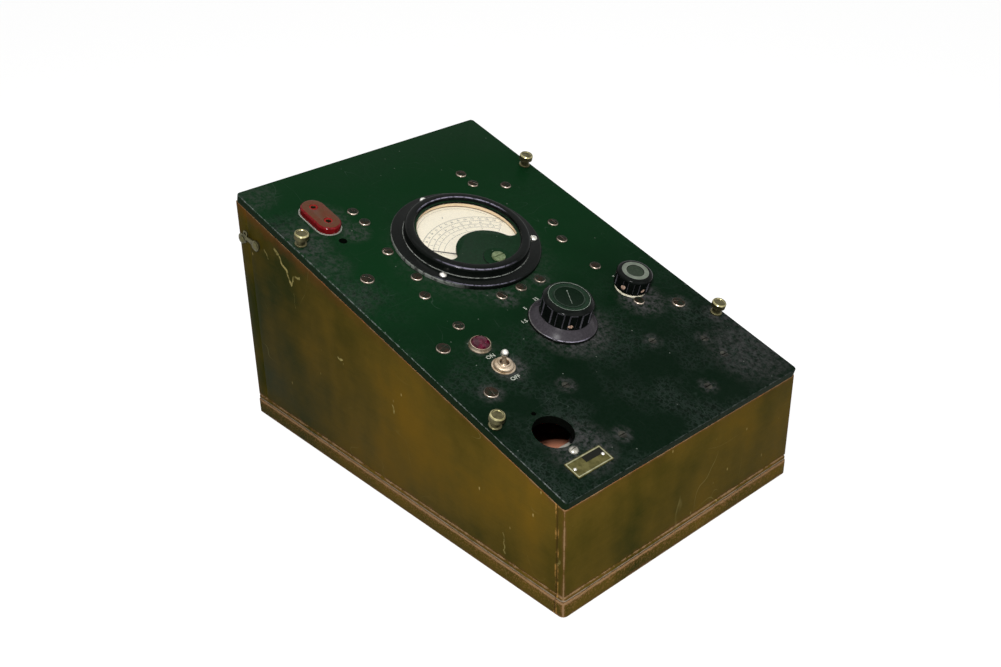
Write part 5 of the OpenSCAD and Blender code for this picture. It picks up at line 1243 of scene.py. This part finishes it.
class BuildDial(VoltmeterOperator, bpy.types.Operator):
    """Printed scales and plain numbers on the dial"""

    bl_idname = "voltmeter.dial"
    bl_label = "Dial"

    # Height of the dial's face over the panel's, and thickness of the printing
    face = 2.52
    ink = 0.02

    def build(self):
        (outer,) = mm("meter", "scale_radius")
        sweep = math.degrees(sizes("meter").sweep)
        pivot_down, case_arc = 29.9, 37.2
        pivot = (METER[0], METER[1] - pivot_down)
        made = []
        for down, inward, divisions, major, width in (
            (0, 1.5, 75, 5, 0.22), (4.7, 1.4, 50, 5, 0.2), (8.9, 1.4, 60, 4, 0.2),
            (12.6, 1.2, 50, 10, 0.18), (16.9, 1.2, 30, 10, 0.18),
        ):
            made.append(self.scale_line(pivot, outer - down, width, sweep))
            for k in range(divisions + 1):
                reach, wide = (inward, width) if k % major == 0 else (inward * 0.55, width * 0.6)
                low, high = outer - down - reach, outer - down
                tick = block("tick", (-wide / 2, low, self.face), (wide / 2, high, self.face + self.ink))
                made.append(placed(tick, panel_matrix(pivot, 0, sweep - 2 * sweep * k / divisions)))
        made.append(self.scale_line(METER, case_arc, 0.14, 66))
        for down, size, last, step in (
            (2.7, 2.1, 150, 10), (7.3, 2.0, 50, 5), (11.2, 1.8, 15, 1), (15.1, 1.8, 5, 1),
        ):
            for n in range(0, last + 1, step):
                angle = sweep - 2 * sweep * n / last
                place = polar(pivot, outer - down, angle + 90)
                made.append(lettering("number", str(n), size, place, angle, self.face, self.ink, 0))
        unit = (METER[0], METER[1] + 28.5)
        made.append(lettering("unit", "V", 2.6, unit, 0, self.face, self.ink, 0))
        dress(joined("dial_printing", made), "cabinet", "ink_printed_black")

    def scale_line(self, pivot, radius, width, sweep):
        """A thin arc: one short bar, spun about the pivot."""
        low, high = radius - width / 2, radius + width / 2
        obj = block("scale_line", (-0.01, low, self.face), (0.01, high, self.face + self.ink))
        turn = Matrix.Rotation(math.radians(-sweep), 4, "Z")
        obj = placed(obj, turn)
        ahead = turn @ Vector((-1, 0, 0))
        with picked(obj, "FACE", lambda face: face.normal.dot(ahead) > 0.9):
            bpy.ops.mesh.spin(steps=48, angle=math.radians(-2 * sweep), center=(0, 0, 0), axis=(0, 0, 1))
        with picked(obj, "VERT"):
            bpy.ops.mesh.remove_doubles(threshold=0.001 * MM)
            bpy.ops.mesh.normals_make_consistent(inside=False)
        return placed(obj, panel_matrix(pivot))


def bored(obj, radius, height, *azimuths):
    """Holes for set screws, run in from the side."""
    for azimuth in azimuths:
        tool = drum("bore", radius, 2, 30, sides=32)
        turn = Matrix.Rotation(math.radians(azimuth), 4, "Z") @ Matrix.Rotation(math.radians(90), 4, "Y")
        cut(obj, placed(tool, Matrix.Translation((0, 0, height * MM)) @ turn))
    return obj


def fluted(name, profile, radius, flutes, cutter, low, high):
    """A turned grip with straight flutes cut round it."""
    tools = [
        drum("flute", cutter, low, high, polar((0, 0), radius + cutter * 0.6, (k + 0.5) * 360 / flutes), 24)
        for k in range(flutes)
    ]
    return cut(turned(name, profile, 96), joined("flutes", tools))


def ridges(radius):
    """The test for the edges between flutes, which get upright grey lines as painted highlights."""
    return lambda face: (
        abs(face.normal.z) < 0.3 and middle(face).xy.length > radius - 0.55
        and 0.3 < face.normal.xy.dot(middle(face).xy.normalized()) < 0.975
    )


class BuildRangeKnob(VoltmeterOperator, bpy.types.Operator):
    """Fluted range knob on its skirt, with its arrow"""

    bl_idname = "voltmeter.range_knob"
    bl_label = "Range knob"

    def build(self):
        skirt, grip, top = mm("controls", "skirt", "grip", "range_top")
        base = turned("range_skirt", [
            (8.6, 0.6), *arc(skirt - 1, 1.4, 1, -50, 80, 8), (skirt - 1.2, 2.45), (skirt - 1.5, 2.7),
            (22.4, 4.6), (20.6, 6.1), (19.3, 7.2), (18.4, 8.05), (3.3, 8.05), (3.3, 5), (8.6, 5),
        ], 128, closed=True)
        # The skirt: a painted sheen and a painted rim highlight; its outer lip is plain black
        painted(base, "phenolic_black_rubbed", (
            "phenolic_black_moulded", lambda face: middle(face).xy.length > skirt - 0.45,
        ))
        head = fluted("range_grip", [
            (0, 8.0), (grip - 0.2, 8.0), (grip, 8.3), (grip, top - 3.4),
            *arc(grip - 1.6, top - 3.2, 1.6, 8, 50, 3), (16.2, top - 0.25), (15.6, top), (14.6, top),
            (14.3, top - 0.25), (11.9, top - 0.25), (11.6, top), (10.9, top), (10.6, top - 0.35),
            (0, top - 0.35),
        ], grip, sizes("controls").range_flutes, 3.4, 8.4, top - 2.6)
        bored(soften(head, 0.3, 2, 40), 2.0, 11, 237)

        # Painted reflection: the flat rim and the disc on the knob's top get a green cast
        def rim(face):
            return face.normal.z > 0.99 and middle(face).z > top - 0.5

        def disc(face):
            return face.normal.z > 0.3 and middle(face).xy.length < 11 and middle(face).z > top - 0.5

        # Painted highlights: upright grey lines on the edges between the flutes
        painted(
            head, "phenolic_black_moulded", ("phenolic_black_hazy_rim", rim),
            ("phenolic_black_disc", disc), ("phenolic_black_ridges", ridges(grip)),
        )
        at = panel_matrix(RANGE)
        dress(placed(head, at), "range_switch_shaft", replaces=["range_knob"])
        dress(placed(base, at), "range_switch_shaft", angle=40)
        self.arrow(top - 0.35)
        coat("steel_screw_end_dusty", "range_knob_screw")
        coat("nickel_plate_dull", "range_shaft", "range_bushing")
        coat("phenolic_board_brown", "range_switch")

    def arrow(self, z):
        line = block("line", (-0.16, -7.4, z + 0.005), (0.16, 6.8, z + 0.06))
        tip = drum("tip", 0.9, z + 0.005, z + 0.06, (0, 6.6), 3)
        rim, ring = (
            turned(name, [(low, z + a), (high, z + b), (high, z + c), (low, z + d)], 96, closed=True)
            for name, low, high, a, b, c, d in (
                ("rim", 14.9, 15.2, 0.3, 0.3, 0.39, 0.39), ("range_ring", 10.6, 11.2, 0.1, 0.3, 0.38, 0.18),
            )
        )
        dress(placed(ring, panel_matrix(RANGE)), "range_switch_shaft", "phenolic_edge_worn")
        arrow = placed(joined("range_arrow", [line, tip, rim]), panel_matrix(RANGE, 0, -29))
        dress(arrow, "range_switch_shaft", "paint_arrow_grey")


class BuildZeroKnob(VoltmeterOperator, bpy.types.Operator):
    """Small fluted zero knob with its grey ring"""

    bl_idname = "voltmeter.zero_knob"
    bl_label = "Zero knob"

    def build(self):
        r, top = mm("controls", "zero", "zero_top")
        body = fluted("zero_knob_fluted", [
            (8.6, 1.5), (r - 2, 1.5), (r - 0.3, 3.5), (r, 4.2), (r, top - 2.2), (r - 0.4, top - 1.2),
            (r - 1.4, top - 0.3), (11.2, top), (10.3, top), (10.3, top - 0.6), (6.75, top - 0.6),
            (6.75, top - 0.1), (6.3, top - 0.2), (0, top - 0.3), (0, 11.1), (3.3, 11.1), (3.3, 4.6),
            (8.6, 4.6),
        ], r, sizes("controls").zero_flutes, 3.0, 4.4, top - 2.8)
        bored(soften(body, 0.25, 2, 40), 1.95, 7, 190, 259)

        def inner(face):
            return face.normal.z > 0.9 and middle(face).z > top - 0.5 and middle(face).xy.length < 6.4

        # Painted highlights: upright grey lines on the edges between the flutes
        painted(
            body, "phenolic_black_moulded", ("phenolic_black_hazed", inner),
            ("phenolic_black_ridges", ridges(r)),
        )
        at = panel_matrix(ZERO)
        dress(placed(body, at), "zero_control_shaft", replaces=["zero_knob"])
        ring = turned("zero_ring", [
            (6.8, top - 0.5), (10.25, top - 0.5), (10.25, top), (10.0, top + 0.05), (7.1, top + 0.05),
            (6.8, top),
        ], 96, closed=True)
        dress(
            placed(ring, at), "zero_control_shaft", "aluminium_inlay_grey",
            replaces=["zero_knob_inlay"],
        )
        collar = [(9, 0.05), (12.0, 0.05), (12.0, 0.9), (11.7, 1.15), (9, 1.15)]
        dress(placed(turned("zero_collar", collar, 72, closed=True), at), "cabinet", "celluloid_ivory")
        coat("steel_screw_end_dusty", "zero_knob_screws")
        coat("nickel_plate_dull", "zero_shaft")
        coat("celluloid_ivory", "zero_bushing")
        coat("phenolic_board_brown", "rheostat")


class BuildPowerSwitch(VoltmeterOperator, bpy.types.Operator):
    """Toggle switch with its ball lever, domed nut and washer"""

    bl_idname = "voltmeter.power_switch"
    bl_label = "Power switch"

    def build(self):
        (ball,) = mm("controls", "ball")
        lever = turned("power_lever_ball", [
            (0, -9), (1.2, -9), (1.2, -3.1), *arc(0, 0, 3.1, -67, 58, 8),
            (1.9, 2.9), (1.6, 4.2), (1.35, 8.2), *arc(0, 10.6, ball, -60, 90, 10),
        ], 40)
        painted(lever, "brass_pale_plated", ("nickel_plate_bright", lambda face: middle(face).z > 8.2))
        tilt = Matrix.Rotation(math.radians(-9), 4, "X")
        lever = placed(lever, panel_matrix(TOGGLE, 0.6) @ tilt)
        dress(lever, "power_lever", replaces=["toggle_lever"])
        rings = [turned(name, profile, steps, closed=True) for name, steps, profile in (
            ("bush", 48, [(3.35, -6.4), (4.6, -6.4), (4.6, 4.3), (4.3, 4.6), (3.6, 4.6), (3.35, 4.3)]),
            ("washer", 64, [(4.65, 0.05), (8.2, 0.05), (8.4, 0.3), (8.3, 0.8), (8.0, 0.9), (4.65, 0.9)]),
            ("nut", 48, [
                (4.65, 0.95), (7.1, 0.95), (7.2, 1.2), (7.2, 1.6), *arc(5.2, 1.65, 2.0, 5, 90, 6),
                (4.65, 3.85),
            ]),
        )]
        soften(rings[-1], 0.1, 1, 40)
        made = placed(joined("toggle_nut_domed", rings), panel_matrix(TOGGLE))
        dress(made, "cabinet", "brass_pale_plated", replaces=["toggle_bushing"])
        coat("phenolic_board_brown", "toggle_body")


class BuildPilotLamp(VoltmeterOperator, bpy.types.Operator):
    """Pilot lamp: brass bezel, red jewel and bulb"""

    bl_idname = "voltmeter.pilot_lamp"
    bl_label = "Pilot lamp"

    def build(self):
        (jewel,) = mm("controls", "jewel")
        rim = turned("rim", [
            (5.4, -25.5), (5.4, 1.2), (jewel + 0.05, 1.2), (jewel + 0.05, 3.2), (jewel + 0.25, 3.4),
            (jewel + 0.5, 3.3), (jewel + 0.8, 1.6), (7.9, 0.8), (8.0, 0.6), (8.0, 0.05), (6.2, 0.05),
            (6.2, -27), (0, -27), (0, -25.5),
        ], 72)
        nut = turned("nut", [(6.25, -9.4), (8.7, -9.4), (8.7, -6.45), (6.25, -6.45)], 48, closed=True)
        made = placed(joined("lamp_bezel_turned", [rim, nut]), panel_matrix(LAMP))
        dress(made, "cabinet", "brass_pale_plated", replaces=["lamp_holder"])
        stone = turned("jewel_faceted", [
            (0, -6.4), (5.3, -6.4), (5.3, 1.3), (jewel, 1.3), (jewel, 3.4), (jewel - 0.9, 4.6),
            (jewel - 2.7, 5.7), (jewel - 5.0, 6.2), (0, 6.3),
        ], 12)
        dress(
            placed(stone, panel_matrix(LAMP)), "lamp_jewel", "glass_pressed_red",
            replaces=["pilot_jewel"], angle=5,
        )
        coat("glass_flat_clear", "pilot_bulb")


class BuildTerminals(VoltmeterOperator, bpy.types.Operator):
    """Red terminal plate on its felt, with its two input jacks"""

    bl_idname = "voltmeter.terminals"
    bl_label = "Input terminals"

    def build(self):
        plate = node_copy("jack_plate", "terminal_plate_moulded")
        gasket = copied(plate, "terminal_gasket")
        soften(self.resized(plate, 0.93, 0.955, 1), 0.35, 3, 25)
        dress(plate, "cabinet", "phenolic_red_moulded", replaces=["jack_plate"])
        dress(self.resized(gasket, 1.01, 1, 0.08), "cabinet", "felt_gasket_grey")
        (r,) = mm("terminals", "jack")
        collars, jacks = [], []
        apart = 19.05
        for side in (-1, 1):
            at = panel_matrix((JACKS[0], JACKS[1] + side * apart / 2))
            collar, jack, nut = (turned(name, profile, steps, closed=True) for name, steps, profile in (
                ("collar", 40, [(2.1, 5.3), (3.2, 5.3), (3.2, 5.66), (2.1, 5.66)]),
                ("jack", 48, [(2.05, -16), (r, -16), (r, 5.2), (r - 0.4, 5.6), (2.5, 5.6), (2.05, 5.2)]),
                ("nut", 6, [(r + 0.05, -9.4), (5.7, -9.4), (5.7, -6.45), (r + 0.05, -6.45)]),
            ))
            collars.append(placed(collar, at))
            jacks.append(placed(joined("jack", [jack, nut]), at))
        dress(joined("jack_collars_red", collars), "cabinet", "lacquer_red")
        dress(
            joined("input_jacks_turned", jacks), "cabinet", "aged_brass_turned",
            replaces=["input_jacks"],
        )

    def resized(self, obj, *factors):
        """Scale about the plate's middle, along the panel's own directions."""
        place = panel_matrix(JACKS)
        for step in (place.inverted(), Matrix.Diagonal((*factors, 1)), place):
            placed(obj, step)
        return obj


class BuildInlet(VoltmeterOperator, bpy.types.Operator):
    """Screw and solder tab at the open supply inlet, and the bare nameplate"""

    bl_idname = "voltmeter.inlet"
    bl_label = "Inlet and nameplate"

    def build(self):
        coat("nickel_plate_dull", "inlet_fixings")
        plate = soften(node_copy("nameplate", "nameplate_bare"), 0.12, 2, 40)
        dress(
            plate, "cabinet", "brass_etched_plate",
            replaces=["nameplate"], angle=12,
        )
        half_width, half_height = (size / 2 for size in mm("terminals", "name_width", "name_height"))
        self.border(half_width, half_height)
        field = block("nameplate_field", (-2, 0.4, 0.79), (half_width - 1.6, half_height - 1.6, 0.82))
        field = placed(soften(field, 0.01, 1, 40), panel_matrix(NAMEPLATE))
        dress(field, "cabinet", "enamel_black_filled")
        coat("nickel_plate_bright", "nameplate_rivets")

    def border(self, half_width, half_height):
        """A pale raised line round the plate, made from a block by opening both its faces."""
        margin, line = 0.6, 0.75
        w, h = half_width - margin, half_height - margin
        border = block("border", (-w, -h, 0.78), (w, h, 0.84))
        for side in (1, -1):
            with picked(border, "FACE", lambda face: face.normal.z * side > 0.9):
                bpy.ops.mesh.inset(thickness=line * MM)
                bpy.ops.mesh.delete(type="FACE")

        def inner(edge):
            m = middle(edge)
            return abs(m.x) < w - line + 0.01 and abs(m.y) < h - line + 0.01 and len(edge.link_faces) == 1

        with picked(border, "EDGE", inner):
            bpy.ops.mesh.bridge_edge_loops()
        dress(placed(border, panel_matrix(NAMEPLATE)), "cabinet", "brass_border_rubbed")


class BuildLettering(VoltmeterOperator, bpy.types.Operator):
    """Engraved plain numbers and ON and OFF, filled with white paint"""

    bl_idname = "voltmeter.lettering"
    bl_label = "Lettering"

    def build(self):
        number_circle = 28.2
        made = [
            lettering("on", "ON", 4.6, (-69.5, -55.5)),
            lettering("off", "OFF", 4.6, (-68.6, -80)),
            placed(drum("zero_mark", 1.0, 0, 0.06, sides=3), panel_matrix((72.1, -36), 0, 60)),
        ]
        for text, angle in (("1.5", 60), ("5", 30), ("15", 0), ("50", -30), ("150", -60)):
            made.append(lettering("range_number", text, 4.5, polar(RANGE, number_circle, angle + 90)))
        dress(joined("panel_lettering", made), "cabinet", "paint_filled_white")


class BuildInsides(VoltmeterOperator, bpy.types.Operator):
    """Parts behind the panel: transformer, deck, valves, capacitors and boards"""

    bl_idname = "voltmeter.insides"
    bl_label = "Insides"

    def build(self):
        coat("iron_machined", "transformer_core")
        coat("paper_waxed_wrap", "transformer_coil")
        coat("nickel_plate_dull", "chassis_deck", "capacitors", "panel_brackets")
        coat("glass_getter_smoked", "valves")
        coat("phenolic_board_brown", "component_boards")


class BuildStage(VoltmeterOperator, bpy.types.Operator):
    """Pale floor, soft lights and the camera of the photograph"""

    bl_idname = "voltmeter.stage"
    bl_label = "Stage"

    def build(self):
        scene = bpy.context.scene
        scene.view_settings.view_transform = "Standard"
        bpy.ops.mesh.primitive_plane_add(size=8)
        floor = named("floor")
        floor.data.materials.append(finish("paper_matte_white"))
        scene.world = bpy.data.worlds.new("studio")
        scene.world.use_nodes = True
        node = emptied(scene.world.node_tree)
        soft, white = (node("Background", (1, 1, 1, 1), strength) for strength in (0.1, 1.0))
        node("OutputWorld", node("MixShader", seen(node), soft, white))
        for name, energy, size, place, aim in (
            ("key", 9.6, 0.06, (-0.62, -0.6, 0.7), (0, 0, 0.09)),
            ("fill", 2.5, 0.8, (0.1, -1.0, 0.6), (0, 0, 0.08)),
            ("top", 7.0, 1.4, (-0.2, 0.1, 1.5), (0, 0, 0.1)),
        ):
            bpy.ops.object.light_add(type="AREA", location=place)
            lamp = bpy.context.object
            lamp.name = name
            lamp.data.energy = energy
            lamp.data.size = size
            lamp.rotation_euler = (Vector(aim) - Vector(place)).to_track_quat("-Z", "Y").to_euler()
        self.camera(scene)

    def camera(self, scene):
        """The photograph's camera, as solved from the cabinet's edges."""
        bpy.ops.object.camera_add()
        camera = bpy.context.object
        camera.name = "camera"
        right = Vector((0.73089342, -0.68242022, -0.00987173))
        down = Vector((-0.33899979, -0.35044965, -0.87307742))
        ahead = Vector((0.59234614, 0.64147306, -0.48748166))
        turn = Matrix((right, -down, -ahead)).transposed().to_4x4()
        camera.matrix_world = Matrix.Translation((-0.56806, -0.61148, 0.55711)) @ turn
        camera.data.lens = 45.76
        camera.data.sensor_width = 36
        camera.data.shift_x = -0.0065
        camera.data.shift_y = 0.0077
        camera.data.clip_start = 0.01
        scene.camera = camera


OPERATORS = (
    BuildCabinet, BuildCatches, BuildPanel, BuildPanelScrews, BuildThumbScrews, BuildMeter, BuildDial,
    BuildRangeKnob, BuildZeroKnob, BuildPowerSwitch, BuildPilotLamp, BuildTerminals, BuildInlet,
    BuildLettering, BuildInsides, BuildStage,
)


class VoltmeterPanel(bpy.types.Panel):
    """Lists the voltmeter's sizes, colours and pieces"""

    bl_idname = "VIEW3D_PT_voltmeter"
    bl_label = "Voltmeter"
    bl_space_type = "VIEW_3D"
    bl_region_type = "UI"
    bl_category = "Voltmeter"

    def draw(self, context):
        for name, group in GROUPS.items():
            box = self.layout.box()
            box.label(text=name.split("_")[1].capitalize())
            for key in group.__annotations__:
                box.prop(getattr(context.scene, name), key)
        for operator in OPERATORS:
            self.layout.operator(operator.bl_idname)


def register():
    for group in GROUPS.values():
        bpy.utils.register_class(group)
    for name, group in GROUPS.items():
        setattr(bpy.types.Scene, name, PointerProperty(type=group))
    for operator in OPERATORS:
        bpy.utils.register_class(operator)
    bpy.utils.register_class(VoltmeterPanel)


def unregister():
    bpy.utils.unregister_class(VoltmeterPanel)
    for operator in reversed(OPERATORS):
        bpy.utils.unregister_class(operator)
    for name in GROUPS:
        delattr(bpy.types.Scene, name)
    for group in reversed(list(GROUPS.values())):
        bpy.utils.unregister_class(group)


def main():
    register()
    for operator in OPERATORS:
        family, action = operator.bl_idname.split(".")
        getattr(getattr(bpy.ops, family), action)()


if __name__ == "__main__":
    main()
